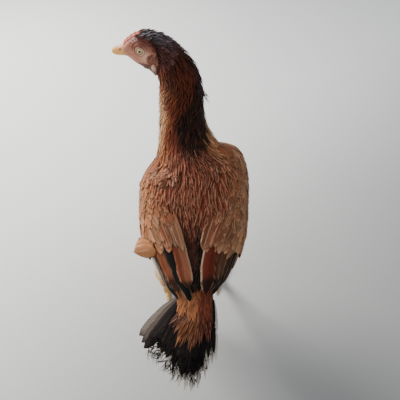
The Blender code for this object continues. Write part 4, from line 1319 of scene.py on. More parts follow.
@dataclass
class Skin:
    """One skin over trunk, neck, head and thighs, inside the plumage by the coat's depth."""

    sides: int = 160
    trunk_rows: int = 90
    head_rows: int = 190
    coat_depth: tuple[Pair, ...] = (
        (0.0, 0.004), (1.5, 0.0055), (6.0, 0.0055), (7.5, 0.0045), (10.5, 0.0035), (12.0, 0.0018),
        (13.5, 0.0008),
    )
    markings: Markings = field(default_factory=Markings)
    head: HeadShape = field(default_factory=HeadShape)

    def depth(self, t: Array, angle: Array) -> Array:
        """How deep the skin lies below the plumage's outline."""
        places, depths = np.array(self.coat_depth).T
        return np.interp(t, places, depths) * smooth(-6, 10, self.markings.feathered(t, angle))

    def build(self) -> Piece:
        """Makes the skin and dresses it."""
        t = np.concatenate(
            (np.linspace(0, NAPE, self.trunk_rows), np.linspace(NAPE, BILL_BASE, self.head_rows)[1:])
        )
        tt, aa = tube(t, self.sides)
        rings = Body().point(tt, aa, -self.depth(tt, aa))
        skin = Bench.rolled("skin", rings)
        Bench.move(skin, self.head.carve(Bench.points(skin)))
        Bench.join(skin, [self.thigh(name, hand) for name, hand in HANDS.items()])
        self.mark(skin)
        nodes = ("torso", "neck", "head", "thigh_left", "thigh_right")
        return dress(skin, SkinFinish().material(), "face_skin", *nodes)

    def thigh(self, name: str, hand: int) -> Piece:
        """Drumstick that is joined to the skin."""
        u, v = tube(np.linspace(1.12, -0.0, 26), 40)
        depth = 0.004 * smooth(-0.02, 0.2, u) + 0.0004
        return Bench.rolled("thigh " + name, Thigh(hand).point(u, v, -depth))

    def mark(self, skin: Piece) -> None:
        """Stores the colours and the bare parts on the skin."""
        points = Bench.points(skin)
        t, angle = self.locate(points)
        bare = smooth(-4, 5, -self.markings.feathered(t, angle)) * smooth(11.0, 11.3, t)
        tint = self.markings.body(t, angle) * 0.62
        Bench.carry(skin, "tint", mix(tint, self.head.tints(points), bare[:, None]))
        Bench.carry(skin, "bare", bare)

    @staticmethod
    def locate(points: Array) -> tuple[Array, Array]:
        """Nearest place on the body line and the angle round it, for points of the skin."""
        t, angle = np.meshgrid(
            np.linspace(0, BILL_BASE, 400), np.linspace(-math.pi, math.pi, 120), indexing="ij"
        )
        places = Body().point(t, angle, 0.0).reshape(-1, 3)
        found = nearest(points, places)
        return t.ravel()[found], angle.ravel()[found]


def rim(across: Array, along: Array, start: float, run: Pair, tip: float) -> Array:
    """Level of a feather's rim: from a place across on, over a run of its length, and round its tip."""
    return np.maximum(smooth(start, 1.0, np.abs(across)) * smooth(*run, along), smooth(tip, 1.0, along))


def jitter(rng: Rng, count: int, spread_by: float) -> Array:
    """Random factors about 1."""
    return 1 + rng.normal(0, spread_by, count).clip(-2.2 * spread_by, 2.2 * spread_by)


def spread(stations: int) -> Array:
    """Shares of a feather's length at its stations, closer towards the tip."""
    return 1 - (1 - np.linspace(0, 1, stations)) ** 1.15


@dataclass(frozen=True)
class Tract:
    """A field of feathers of one kind on the body.

    Attributes:
        name: Name of the piece that it becomes.
        slot: The record's slot for it.
        u: Lowest and highest place along the surface.
        v: Lowest and highest place across it, in degrees on the body and shares on a wing.
        gaps: Metres between rows, and within a row.
        length: Length in metres at the lowest and highest u.
        half: Half width in metres at the lowest and highest u.
        outline, ring, stations, fray, splits, cup: Build of the feathers.
        heights: Height of the root and of the tip against the plumage's outline.
        wild: Spread of their headings in radians.
    """

    name: str
    slot: str
    u: Pair
    v: Pair
    gaps: Pair
    length: Pair
    half: Pair
    outline: Outline = Outline.ROUND
    ring: Ring = Ring.FINE
    stations: int = 9
    heights: Pair = (-0.0045, 0.0006)
    fray: float = 0.28
    wild: float = 0.1
    splits: int = 2
    cup: float = 0.2


@dataclass
class Coat:
    """Feathers of the trunk, neck and head."""

    markings: Markings = field(default_factory=Markings)
    ear_feathers: int = 420
    bristle_roots: int = 3000
    tracts: tuple[Tract, ...] = (
        Tract("coat_rump", "body_plumage", (-0.15, 1.7), (-180, 180), (0.006, 0.0062), (0.038, 0.038),
              (0.0044, 0.0052), Outline.LANCE, heights=(-0.0034, 0.0004), wild=0.06, cup=0.1,
              fray=0.14, splits=1),
        Tract("coat_back", "body_plumage", (1.7, 6.3), (-78, 78), (0.0056, 0.0056), (0.046, 0.036),
              (0.0066, 0.0042), Outline.LANCE, heights=(-0.0034, 0.0006), wild=0.1, cup=0.1,
              fray=0.16, splits=1),
        Tract("coat_belly", "body_plumage", (1.7, 4.2), (98, 262), (0.008, 0.009), (0.04, 0.038),
              (0.008, 0.008)),
        Tract("coat_breast", "body_plumage", (4.2, 7.0), (78, 282), (0.0066, 0.0074), (0.036, 0.03),
              (0.0072, 0.0058)),
        Tract("coat_shoulder", "body_plumage", (5.45, 7.15), (-128, 128), (0.0064, 0.007), (0.028, 0.028),
              (0.0062, 0.005), heights=(-0.0034, 0.0002), wild=0.14, cup=0.04, fray=0.16, splits=1),
        Tract("hackle_low", "neck_hackle", (6.5, 9.0), (-180, 180), (0.0046, 0.0042), (0.046, 0.033),
              (0.0034, 0.0028), Outline.LANCE, Ring.FINE, 9, (-0.004, 0.0018), 0.25, 0.13, 1, 0.14),
        Tract("hackle_high", "neck_hackle", (9.0, 11.7), (-180, 180), (0.0036, 0.0034), (0.026, 0.016),
              (0.0024, 0.0018), Outline.LANCE, Ring.PLAIN, 8, (-0.0028, 0.0012), 0.25, 0.16, 1, 0.14),
        Tract("coat_crown", "neck_hackle", (11.6, 14.6), (-125, 125), (0.0026, 0.0027), (0.013, 0.006),
              (0.0022, 0.0014), Outline.ROUND, Ring.PLAIN, 7, (-0.0016, 0.0003), 0.2, 0.14, 1, 0.16),
    )

    def build(self, rng: Rng) -> None:
        """Makes and dresses each tract."""
        finishes = {
            "body_plumage": PlumageFinish("contour feathers").material(),
            "neck_hackle": PlumageFinish("hackles", barbs=38.0, rough=0.55, gloss=0.1, wear=0.2).material(),
        }
        for tract in self.tracts:
            extra = {"coat_crown": self.bristles, "hackle_low": self.tuft}.get(tract.name)
            batches = [self.field(tract, rng)] + (extra(rng) if extra else [])
            piece = Bench.plumage(tract.name, [batch.mesh(rng) for batch in batches])
            dress(piece, finishes[tract.slot], tract.slot)

    @staticmethod
    def tuft(rng: Rng) -> list[Feathers]:
        """A few dark hackles that curl away from the neck's right side."""
        surface, count = Body(), 14
        u, v = rng.uniform(9.0, 9.5, count), np.radians(rng.uniform(56, 80, count))
        path = walk(
            surface, u, v, rng.uniform(0.3, 0.9, count), rng.uniform(0.018, 0.026, count), spread(10), -1.6
        )
        return [Feathers(
            surface, Outline.LANCE, Ring.FINE, 10, path, np.full(count, 0.0021), -0.001,
            0.0045, np.broadcast_to(Palette.SOOT, (count, 3)), 0.0, rng.random(count),
            curl=rng.uniform(0.002, 0.007, count),
        )]

    def bristles(self, rng: Rng) -> list[Feathers]:
        """Tufts over the ears, and sparse bristles where the plumage ends on the face."""
        head, batches, surface = HeadShape(), [], Body()
        for hand in HANDS.values():
            ear = head.middle - head.forward * head.ear_back - head.up * head.ear_down
            ear = ear + head.side * hand * 0.016
            t, angle = Skin.locate(ear[None])
            count = self.ear_feathers
            around, far = rng.uniform(-math.pi, math.pi, count), 0.0062 * np.sqrt(rng.random(count))
            gu, gv = surface.stretch(t, angle)
            u, v = t + far * np.cos(around) / gu, angle + far * np.sin(around) / gv
            heading = math.pi / 2 - around + rng.normal(0, 0.6, count)
            ring = hump(far - 0.004, 0.0024)[:, None]
            tone = mix(
                mix(ink("b47a62"), ink("7f4c3c"), ring), ink("d0a088"), 0.5 * rng.random((count, 1)) ** 2
            )
            batches.append((u, v, 0.0042, 0.0005, heading, tone))
            count = self.bristle_roots
            u, v = rng.uniform(11.1, 14.5, count), hand * np.radians(rng.uniform(5, 115, count))
            keep = np.abs(self.markings.feathered(u, v) + 4) < rng.uniform(0, 11, count)
            tone = mix(Palette.BROW, Palette.SOOT, 0.5)
            batches.append((u[keep], v[keep], 0.0038, 0.00022, rng.normal(0, 0.35, keep.sum()), tone))
        return [
            Feathers(
                surface, Outline.LANCE, Ring.PLAIN, 6,
                walk(surface, u, v, heading, length * jitter(rng, len(u), 0.2), spread(6), 0.0),
                half * jitter(rng, len(u), 0.15), -0.0006, 0.0012,
                colour * jitter(rng, len(u), 0.2)[:, None], 0.0, rng.random(len(u)),
            )
            for u, v, length, half, heading, colour in batches
        ]

    def field(self, tract: Tract, rng: Rng) -> Feathers:
        """Feathers of one tract."""
        rises = {"coat_back": (20.0, 3.7, 4.9, 6.0, 0.9), "coat_shoulder": (26.0, 0.0, 4.9, 5.9, 1.0)}
        surface = Body(over_wings=rises.get(tract.name))
        left, right = np.radians(tract.v)
        u, v = scatter(surface, *tract.u, left, right, *tract.gaps, rng)
        v = (v + math.pi) % (2 * math.pi) - math.pi
        keep = self.kept(tract, u, v, rng)
        u, v = u[keep], v[keep]
        share = (u - tract.u[0]) / (tract.u[1] - tract.u[0])
        count = len(u)
        length = mix(*tract.length, share) * jitter(rng, count, 0.1)
        half = mix(*tract.half, share) * jitter(rng, count, 0.1)
        heading = rng.normal(0, tract.wild, count)
        if tract.name in ("coat_back", "coat_shoulder"):
            heading += 0.22 * np.sign(v) * smooth(10, 60, np.abs(np.degrees(v)))
        path = walk(surface, u, v, heading, length, spread(tract.stations), rng.normal(0, 0.18, count))
        shown = path[:, int(0.66 * tract.stations)].T
        tint = self.markings.body(*shown) * jitter(rng, count, 0.16)[:, None]
        if tract.slot == "neck_hackle":
            # random feathers lean to mahogany on the neck, and to a purplish grey on the crown as a painted
            # sheen
            tone = Palette.MAHOGANY if tract.name != "coat_crown" else ink("6d5457")
            tint = mix(tint, tone, 0.42 * rng.random((count, 1)) ** 2)
        low, high = tract.heights
        return Feathers(
            surface, tract.outline, tract.ring, tract.stations, path, half,
            low + rng.normal(0, 0.0002, count), high + rng.normal(0, 0.0005, count),
            tint, self.markings.shaft(*shown) * rng.uniform(0.35, 1.0, count), rng.random(count),
            fray=tract.fray, roll=0.05 * np.sign(v), cup=tract.cup,
            curl=np.abs(rng.normal(0, 0.0008, count)), splits=tract.splits,
            shade={"coat_crown": self.rimmed, "coat_shoulder": self.scalloped}.get(tract.name),
        )

    @staticmethod
    def rimmed(tint: Array, across: Array, along: Array) -> Array:
        """Crown feathers with grey rims."""
        edge = rim(across, along, 0.5, (0.3, 0.7), 0.75)
        return tint * (1 + 1.4 * edge[..., None])

    @staticmethod
    def scalloped(tint: Array, across: Array, along: Array) -> Array:
        """Shoulder feathers with dusky middles and paler rims."""
        edge = rim(across, along, 0.35, (0.4, 0.8), 0.8)
        return blend_to(
            tint * (1 - 0.18 * smooth(0.3, 0.7, along) * (1 - edge))[..., None], Palette.BUFF, edge * 0.1
        )

    def kept(self, tract: Tract, u: Array, v: Array, rng: Rng) -> Array:
        """Which roots of a tract grow a feather."""
        degrees = np.abs(np.degrees(v))
        if tract.name == "coat_back":
            inner = station(WING_LINE, np.clip(u, 0, 7))[:, 3]
            return degrees < inner + 6 + 18 * smooth(3.5, 6, u)
        if tract.name == "coat_shoulder":
            return degrees > 24
        if tract.name in ("hackle_high", "coat_crown"):
            return self.markings.feathered(u, v) > rng.normal(2, 3, len(u))
        return np.full(len(u), True)


@dataclass(frozen=True)
class Quill:
    """One large feather of a wing.

    Attributes:
        way: Places (t, share across) of its shaft at even steps, from root to tip.
        half: Half width in metres.
        vanes: Colours of its inner edge, middle and outer edge.
        bounds: Places across where the inner edge's colour ends and the outer edge's starts.
        dark_tip: Share of the length where a black tip starts.
        streak: How strongly the pale shaft shows.
    """

    way: tuple[Pair, ...]
    half: float
    vanes: tuple[str, str, str]
    bounds: Pair = (-0.9, 0.8)
    dark_tip: float = 2.0
    streak: float = 0.15


# black quills whose outer edge is greyer: a painted sheen
BLACKS_WITH_PAINTED_SHEEN = ("120e0d", "15110f", "2c2a2c")
GREYS = ("15110f", "6f5f50", "e2d3bd")
QUILLS = {
    # each wing's, the innermost and topmost first
    -1: (
        Quill(((3.4, 0.01), (2.4, 0.02), (1.5, 0.022), (0.9, 0.035), (0.33, 0.0)), 0.0136,
              ("e0c4a8", "8c553c", "6a3422"), (-0.94, 0.1), 0.76, 0.1),
        Quill(((3.4, 0.16), (2.4, 0.175), (1.5, 0.19), (0.8, 0.215), (0.2, 0.14), (-0.45, 0.08)), 0.0086,
              ("15110f", "15110f", "4a4238"), (-0.9, 0.78), 2.0, 0.0),
        Quill(((3.4, 0.28), (2.4, 0.28), (1.5, 0.31), (0.8, 0.38), (0.15, 0.4)), 0.0084,
              ("1c1210", "7c452c", "6a3822"), (-0.55, 0.55), 0.62, 0.0),
        Quill(((3.4, 0.35), (2.4, 0.35), (1.5, 0.385), (0.8, 0.47), (0.2, 0.5)), 0.0082,
              ("1c1210", "87492c", "120e0d"), (-0.4, 0.62), 0.7, 0.0),
        Quill(((3.2, 0.42), (2.2, 0.42), (1.45, 0.45), (0.8, 0.58), (0.3, 0.74), (-0.3, 0.8)), 0.0062,
              BLACKS_WITH_PAINTED_SHEEN, streak=0.0),
        Quill(((3.0, 0.46), (2.1, 0.455), (1.45, 0.52), (0.9, 0.66), (0.38, 0.82)), 0.0054,
              GREYS, (-0.3, 0.82)),
        Quill(((3.0, 0.5), (2.1, 0.49), (1.45, 0.57), (0.9, 0.74), (0.42, 0.9)), 0.0054,
              GREYS, (-0.3, 0.76)),
        Quill(((3.0, 0.55), (2.1, 0.545), (1.45, 0.64), (0.9, 0.86), (0.5, 1.0)), 0.006,
              GREYS, (-0.5, 0.3)),
    ),
    1: (
        Quill(((3.4, 0.06), (2.3, 0.08), (1.5, 0.115), (0.8, 0.19), (-0.05, 0.29)), 0.011,
              ("e0c4a8", "561f14", "5e2a1c"), (-0.95, 0.45), 0.66, 0.0),
        Quill(((3.4, 0.17), (2.3, 0.2), (1.5, 0.23), (0.7, 0.33), (0.1, 0.4)), 0.01,
              ("3c1c14", "4c281b", "5f3c2c"), (-0.7, 0.45), 0.64, 0.08),
        Quill(((3.2, 0.28), (2.2, 0.3), (1.5, 0.34), (0.8, 0.43), (0.2, 0.5)), 0.009,
              ("1c1210", "4e3022", "664836"), (-0.4, 0.45), 0.62, 0.1),
        Quill(((3.2, 0.38), (2.2, 0.4), (1.5, 0.46), (0.8, 0.55), (0.25, 0.64)), 0.008,
              ("15110f", "3c261b", "523829"), (-0.5, 0.5), 0.62, 0.0),
        Quill(((3.2, 0.46), (2.2, 0.49), (1.5, 0.54), (0.8, 0.63), (-0.1, 0.74)), 0.008,
              BLACKS_WITH_PAINTED_SHEEN, streak=0.0),
        Quill(((3.1, 0.53), (2.2, 0.56), (1.5, 0.64), (0.65, 0.82)), 0.0074,
              ("15110f", "1d1613", "8a7058"), (-0.3, 0.5)),
        Quill(((3.2, 0.55), (2.5, 0.59), (1.9, 0.66), (1.42, 0.76)), 0.0066,
              ("2a1a15", "8a6c54", "b39274"), (-0.3, 0.5)),
    ),
}


@dataclass
class WingPlumage:
    """Coverts and flight feathers of one closed wing, over its arm."""

    name: str
    hand: int
    markings: Markings = field(default_factory=Markings)
    arm_depth: float = 0.0046
    tracts: tuple[Tract, ...] = (
        Tract("lesser", "wing_plumage", (3.9, 5.95), (0.02, 0.99), (0.0058, 0.0062), (0.034, 0.024),
              (0.006, 0.005), stations=10, heights=(-0.0026, 0.0003), cup=0.03, wild=0.11,
              fray=0.14, splits=1),
        Tract("median", "wing_plumage", (3.0, 3.95), (0.00, 0.97), (0.008, 0.007), (0.044, 0.038),
              (0.0066, 0.006), stations=12, heights=(-0.0022, 0.0008), cup=0.03, wild=0.09,
              fray=0.16, splits=2),
    )

    @property
    def surface(self) -> Wing:
        """Face that the feathers lie on."""
        return Wing(self.hand)

    def build(self, rng: Rng) -> None:
        """Makes the arm, the coverts and the quills."""
        node = "wing_" + self.name
        finish = PlumageFinish("wing feathers " + self.name, barbs=60.0, rough=0.58, wear=0.4).material()
        dress(self.arm(), finish, "wing_plumage", node)
        dress(
            Bench.plumage(f"quills_{self.name}", [self.quills(rng).mesh(rng)]), finish, "wing_plumage", node
        )
        coverts = [self.field(tract, rng).mesh(rng) for tract in self.tracts] + [self.greater(rng).mesh(rng)]
        if self.hand < 0:
            coverts.append(self.stray(rng).mesh(rng))
        dress(Bench.plumage(f"coverts_{self.name}", coverts), finish, "wing_plumage", node)

    def arm(self) -> Piece:
        """Flesh and down of the closed wing, below its feathers."""
        surface, rings = self.surface, []
        for t in np.linspace(1.3, WING_FRONT - 0.02, 60):
            row, shares = np.full(30, t), np.linspace(0, mix(0.5, 1.0, float(smooth(2.3, 3.3, t))), 30)
            top, thin = (
                surface.point(row, shares, -self.arm_depth - deep) for deep in (0.002 * (t < 3), 0.0036)
            )
            inner, outer = surface.edges(t)
            deep = Body().point(row, self.hand * mix(inner, outer, shares), -0.006)
            rings.append(np.concatenate((top, mix(thin, deep, float(smooth(1.6, 2.8, t)))[::-1])))
        arm = Bench.rolled(f"arm_{self.name}", np.array(rings))
        points = Bench.points(arm)
        t, _ = Skin.locate(points)
        tint = blend_to(
            np.broadcast_to(Palette.BLACK, (len(points), 3)), Palette.CINNAMON, smooth(3.0, 4.2, t)
        )
        Bench.carry(arm, "tint", tint * 0.7)
        Bench.carry(arm, "vane", np.stack((np.full(len(t), 0.3), points[:, 1] * 30, points[:, 0]), axis=-1))
        Bench.carry(arm, "streak", np.zeros(len(t)))
        return arm

    def field(self, tract: Tract, rng: Rng) -> Feathers:
        """Feathers of one tract of coverts."""
        surface = self.surface
        u, v = scatter(surface, *tract.u, *tract.v, *tract.gaps, rng)
        share = (u - tract.u[0]) / (tract.u[1] - tract.u[0])
        count = len(u)
        length = mix(*tract.length, share) * jitter(rng, count, 0.12)
        half = mix(*tract.half, share) * jitter(rng, count, 0.12)
        heading = rng.normal(0, tract.wild, count) + 0.1 * smooth(0.5, 1.0, v)
        path = walk(surface, u, v, heading, length, spread(tract.stations), rng.normal(0, 0.15, count))
        path[..., 1] = path[..., 1].clip(-0.05, 1.02)
        shown = path[:, int(0.66 * tract.stations)].T
        tint = self.markings.wing(self.hand, *shown) * jitter(rng, count, 0.15)[:, None]
        low, high = tract.heights
        return Feathers(
            surface, tract.outline, tract.ring, tract.stations, path, half,
            low + rng.normal(0, 0.0002, count), high + rng.normal(0, 0.0004, count),
            tint, 0.5 * rng.uniform(0.0, 1.0, count), rng.random(count),
            fray=tract.fray, roll=0.04, cup=tract.cup, curl=np.abs(rng.normal(0, 0.0003, count)),
            splits=tract.splits, shade=self.fringe,
        )

    @staticmethod
    def fringe(tint: Array, across: Array, along: Array) -> Array:
        """Coverts with a paler fringe."""
        edge = rim(across, along, 0.6, (0.3, 0.8), 0.82)
        core = smooth(0.3, 0.8, along) * (1 - smooth(0.1, 0.7, np.abs(across))) * (1 - edge)
        return blend_to(tint * (1 - 0.16 * core)[..., None], Palette.BUFF, edge * 0.14)

    def quills(self, rng: Rng) -> Feathers:
        """The large feathers, each over the next one outwards."""
        quills, shares = QUILLS[self.hand], spread(30)
        count = len(quills)
        path = np.stack([station(np.array(quill.way), shares * (len(quill.way) - 1)) for quill in quills])
        path[..., 1] += rng.normal(0, 0.006, count)[:, None] * np.sin(np.pi * shares)
        vanes = np.array([[ink(code) for code in quill.vanes] for quill in quills])
        inner, middle, outer = vanes.swapaxes(0, 1)[:, :, None, None]
        low, high, tip = np.array([(*quill.bounds, quill.dark_tip) for quill in quills]).T[:, :, None, None]

        def shade(tint: Array, across: Array, along: Array) -> Array:
            """Colours of the three parts of each vane, darker at some tips."""
            colour = mix(inner, middle, smooth(0, 1, (across - low) / 0.24 + 0.5)[..., None])
            colour = blend_to(colour, outer, smooth(0, 1, (across - high) / 0.24 + 0.5))
            return blend_to(colour, Palette.BLACK, smooth(0, 1, (along - tip) / 0.14) * 0.85) * tint

        lift = 0.003 - 0.0005 * np.arange(count)
        return Feathers(
            self.surface, Outline.QUILL, Ring.BROAD, 30, path, np.array([quill.half for quill in quills]),
            lift - 0.0045, lift, np.ones((count, 3)) * jitter(rng, count, 0.06)[:, None],
            np.array([quill.streak for quill in quills]), rng.random(count),
            fray=0.1, roll=0.04, cup=0.06, splits=2, thickness=0.0003, shade=shade,
        )

    def greater(self, rng: Rng) -> Feathers:
        """The greater coverts, one row of broad feathers over the roots of the quills."""
        count, shares = 13, spread(16)
        order = np.linspace(0, 1, count)
        root = np.stack((np.full(count, 3.8), mix(0.0, 0.92, order)), axis=-1)
        tip = np.stack(
            (mix(2.12, 2.75, order) + rng.normal(0, 0.06, count), mix(-0.03, 0.8, order)), axis=-1
        )
        path = root[:, None] + (tip - root)[:, None] * shares[:, None]
        tint = self.markings.wing(self.hand, *path[:, 12].T) * jitter(rng, count, 0.14)[:, None]
        lift = 0.0034 - 0.0003 * np.arange(count)
        return Feathers(
            self.surface, Outline.ROUND, Ring.BROAD, 16, path, 0.0082 * jitter(rng, count, 0.08),
            lift - 0.006, lift,
            tint * mix(0.62, 0.92, smooth(0.0, 0.5, order))[:, None], rng.uniform(0.0, 0.4, count),
            rng.random(count),
            fray=0.16, roll=0.04, cup=0.03, splits=2, thickness=0.0003, shade=self.fringe,
        )

    def stray(self, rng: Rng) -> Feathers:
        """Bent coverts that stand out from the wing's outer side."""
        u, v = np.array((2.4, 2.57, 2.24)), np.array((0.37, 0.46, 0.35))
        heading, length = np.array((1.22, 1.12, 1.3)), np.array((0.035, 0.034, 0.032))
        path = walk(self.surface, u, v, heading, length, spread(14), np.array((0.4, 0.3, 0.5)))
        tint = (
            np.broadcast_to(mix(Palette.TAN, Palette.CINNAMON, 0.4) * 0.64, (3, 3))
            * jitter(rng, 3, 0.1)[:, None]
        )
        return Feathers(
            self.surface, Outline.ROUND, Ring.BROAD, 14, path, np.array((0.016, 0.014, 0.013)), 0.004,
            0.008, tint, 0.3, rng.random(3), fray=0.3, roll=0.25, cup=0.3,
            curl=np.array((0.0085, 0.006, 0.011)), splits=3, shade=self.fringe,
        )


@dataclass
class TailPlumage:
    """Quills of the tail, the coverts above and below them and the frayed barbs."""

    quills: int = 15
    loose_barbs: int = 360
    top: float = 0.38

    def build(self, rng: Rng) -> None:
        """Makes the quills, the coverts and the loose barbs."""
        finish = PlumageFinish("tail feathers", barbs=70.0, rough=0.55, wear=0.04).material()
        quills = [self.fan(rng), self.pale(rng)]
        # count, root, tip, half width, height, whether they lie below
        rows = (
            (18, 0.16, 0.64, 0.0046, 0.0026, False), (22, 0.06, 0.58, 0.0048, 0.004, False),
            (22, -0.06, 0.5, 0.005, 0.0056, False), (20, -0.16, 0.4, 0.0052, 0.0074, False),
            (12, 0.02, 0.5, 0.011, -0.006, True),
            (12, -0.1, 0.34, 0.011, -0.01, True),
        )
        coverts = [self.coverts(rng, *row) for row in rows]
        for name, batches in (("quills", quills), ("coverts", coverts), ("barbs", [self.loose(rng)])):
            piece = Bench.plumage("tail_" + name, [batch.mesh(rng) for batch in batches])
            dress(piece, finish, "tail_plumage", "tail")

    def level(self, v: Array) -> Array:
        """How far a quill lies below the topmost one."""
        return -0.0011 * np.abs(v - self.top) * (self.quills - 1)

    def fan(self, rng: Rng) -> Feathers:
        """The dark quills, the two at the left edge grey."""
        v = np.linspace(0.0, 1.0, self.quills)
        shares = spread(34)
        reach = mix(0.86 + 0.1 * rng.random(len(v)), 1.02, v > 0.85)
        u = 0.06 + (reach[:, None] - 0.06) * shares
        sway = rng.normal(0, 0.014, len(v))[:, None] * shares**2
        path = np.stack((u, np.broadcast_to(v[:, None] + sway, u.shape)), axis=-1)
        tint = np.where(
            (v < 0.84)[:, None], Palette.BLACK,
            mix(ink("2c2524"), Palette.GREY, smooth(0.86, 1.0, v)[:, None])
        )
        return Feathers(
            Tail(), Outline.QUILL, Ring.BROAD, 34, path,
            mix(0.0074, 0.01, v**2) * jitter(rng, len(v), 0.08),
            self.level(v) - 0.001, self.level(v), tint, 0.02, rng.random(len(v)),
            fray=np.where(v > 0.85, 0.05, 0.16), roll=0.05 * np.sign(v - self.top), cup=0.06, splits=6,
            thickness=0.0003, shade=self.quill,
        )

    @staticmethod
    def quill(tint: Array, across: Array, along: Array) -> Array:
        """Quills with dark outer edges, and tips that fade to brown."""
        edged = blend_to(tint, Palette.BLACK, smooth(0.8, 1.0, np.abs(across)))
        return blend_to(edged, Palette.SOOT, smooth(0.86, 1.0, along) * 0.7)

    def pale(self, rng: Rng) -> Feathers:
        """Whitish feathers that show below the tips and at the right edge."""
        v = np.array((-0.03, 0.02, 0.12, 0.2, 0.28, 0.36, 0.44, 0.52, 0.62, 0.72))
        reach = np.array((1.13, 1.08, 1.09, 1.1, 1.11, 1.11, 1.1, 1.08, 1.05, 0.98))
        u = 0.1 + (reach[:, None] - 0.1) * spread(24)
        path = np.stack((u, np.broadcast_to(v[:, None], u.shape)), axis=-1)
        return Feathers(
            Tail(), Outline.ROUND, Ring.BROAD, 24, path, np.full(len(v), 0.0088), self.level(v) - 0.0035,
            self.level(v) - 0.003, np.broadcast_to(Palette.WHITISH, (len(v), 3)), 0.2,
            rng.random(len(v)), fray=0.5, cup=0.1, splits=8,
        )

    def coverts(
        self, rng: Rng, count: int, root: float, tip: float, half: float, high: float, under: bool
    ) -> Feathers:
        """One row of coverts over or under the quills, parted a little right of the middle."""
        v = np.linspace(0.04, 0.92 if under else 0.8, count) + rng.normal(0, 0.012, count)
        shares = spread(18)
        part = 1 - 0.34 * hump(v - 0.25, 0.12) * (not under)
        tips = tip * (1 - 0.28 * smooth(0.5, 0.85, v)) * part * jitter(rng, count, 0.07)
        u = root + (tips[:, None] - root) * shares
        pinch = mix(0.62, 1.0, np.clip(u / 0.5, 0, 1))
        lean = rng.normal(0, 0.03, count)[:, None] * shares
        path = np.stack((u, self.top + (v[:, None] - self.top) * pinch + lean), axis=-1)
        colour = mix(Palette.CHESTNUT, Palette.TAN, rng.random(count)[:, None])
        if under:
            colour = mix(colour, Palette.GREY, 0.5)
        else:
            colour = blend_to(colour, Palette.MAHOGANY, 1 - smooth(0.22, 0.44, v))
            colour = blend_to(colour, ink("6b4a42"), smooth(0.66, 0.76, v))
        side = -1 if under else 1
        rest = self.level(v) * under
        return Feathers(
            Tail(dome=0.0 if under else 0.004), Outline.LANCE if half < 0.0065 else Outline.ROUND,
            Ring.FINE, 18, path,
            half * jitter(rng, count, 0.12), high - 0.004 * side + rest,
            high + rest + rng.normal(0, 0.0006, count),
            colour, rng.uniform(0.1, 0.9, count), rng.random(count),
            fray=0.2, roll=0.06 * np.sign(v - self.top), cup=0.08 * side, splits=2, shade=self.sooty,
        )

    @staticmethod
    def sooty(tint: Array, across: Array, along: Array) -> Array:
        """Coverts that darken towards their tips."""
        return blend_to(tint, Palette.DARK_MAHOGANY, smooth(0.5, 0.95, along) * 0.8)

    def loose(self, rng: Rng) -> Feathers:
        """Frayed barbs at the tips of the quills, most of them dark."""
        count = self.loose_barbs
        v = rng.uniform(0.0, 0.84, count)
        u = rng.uniform(0.7, 0.97, count)
        length = rng.uniform(0.008, 0.022, count) * (1 - 0.3 * (u - 0.66))
        heading = np.pi + rng.normal(0, 0.38, count) - 0.5 * smooth(0.55, 0.9, v)
        path = walk(Tail(), u, v, heading, length, np.linspace(0, 1, 6), rng.normal(0, 0.7, count))
        dark = rng.random(count) < 0.74
        tint = np.where(dark[:, None], Palette.BLACK, Palette.WHITISH)
        level = self.level(v) + np.where(dark, 0.0006, -0.0035)
        return Feathers(
            Tail(), Outline.STRAND, Ring.THREAD, 6, path, rng.uniform(0.0003, 0.0008, count), level,
            level + rng.normal(0, 0.0012, count), tint, 0.0, rng.random(count), fray=0.0, cup=0.0, splits=0,
        )


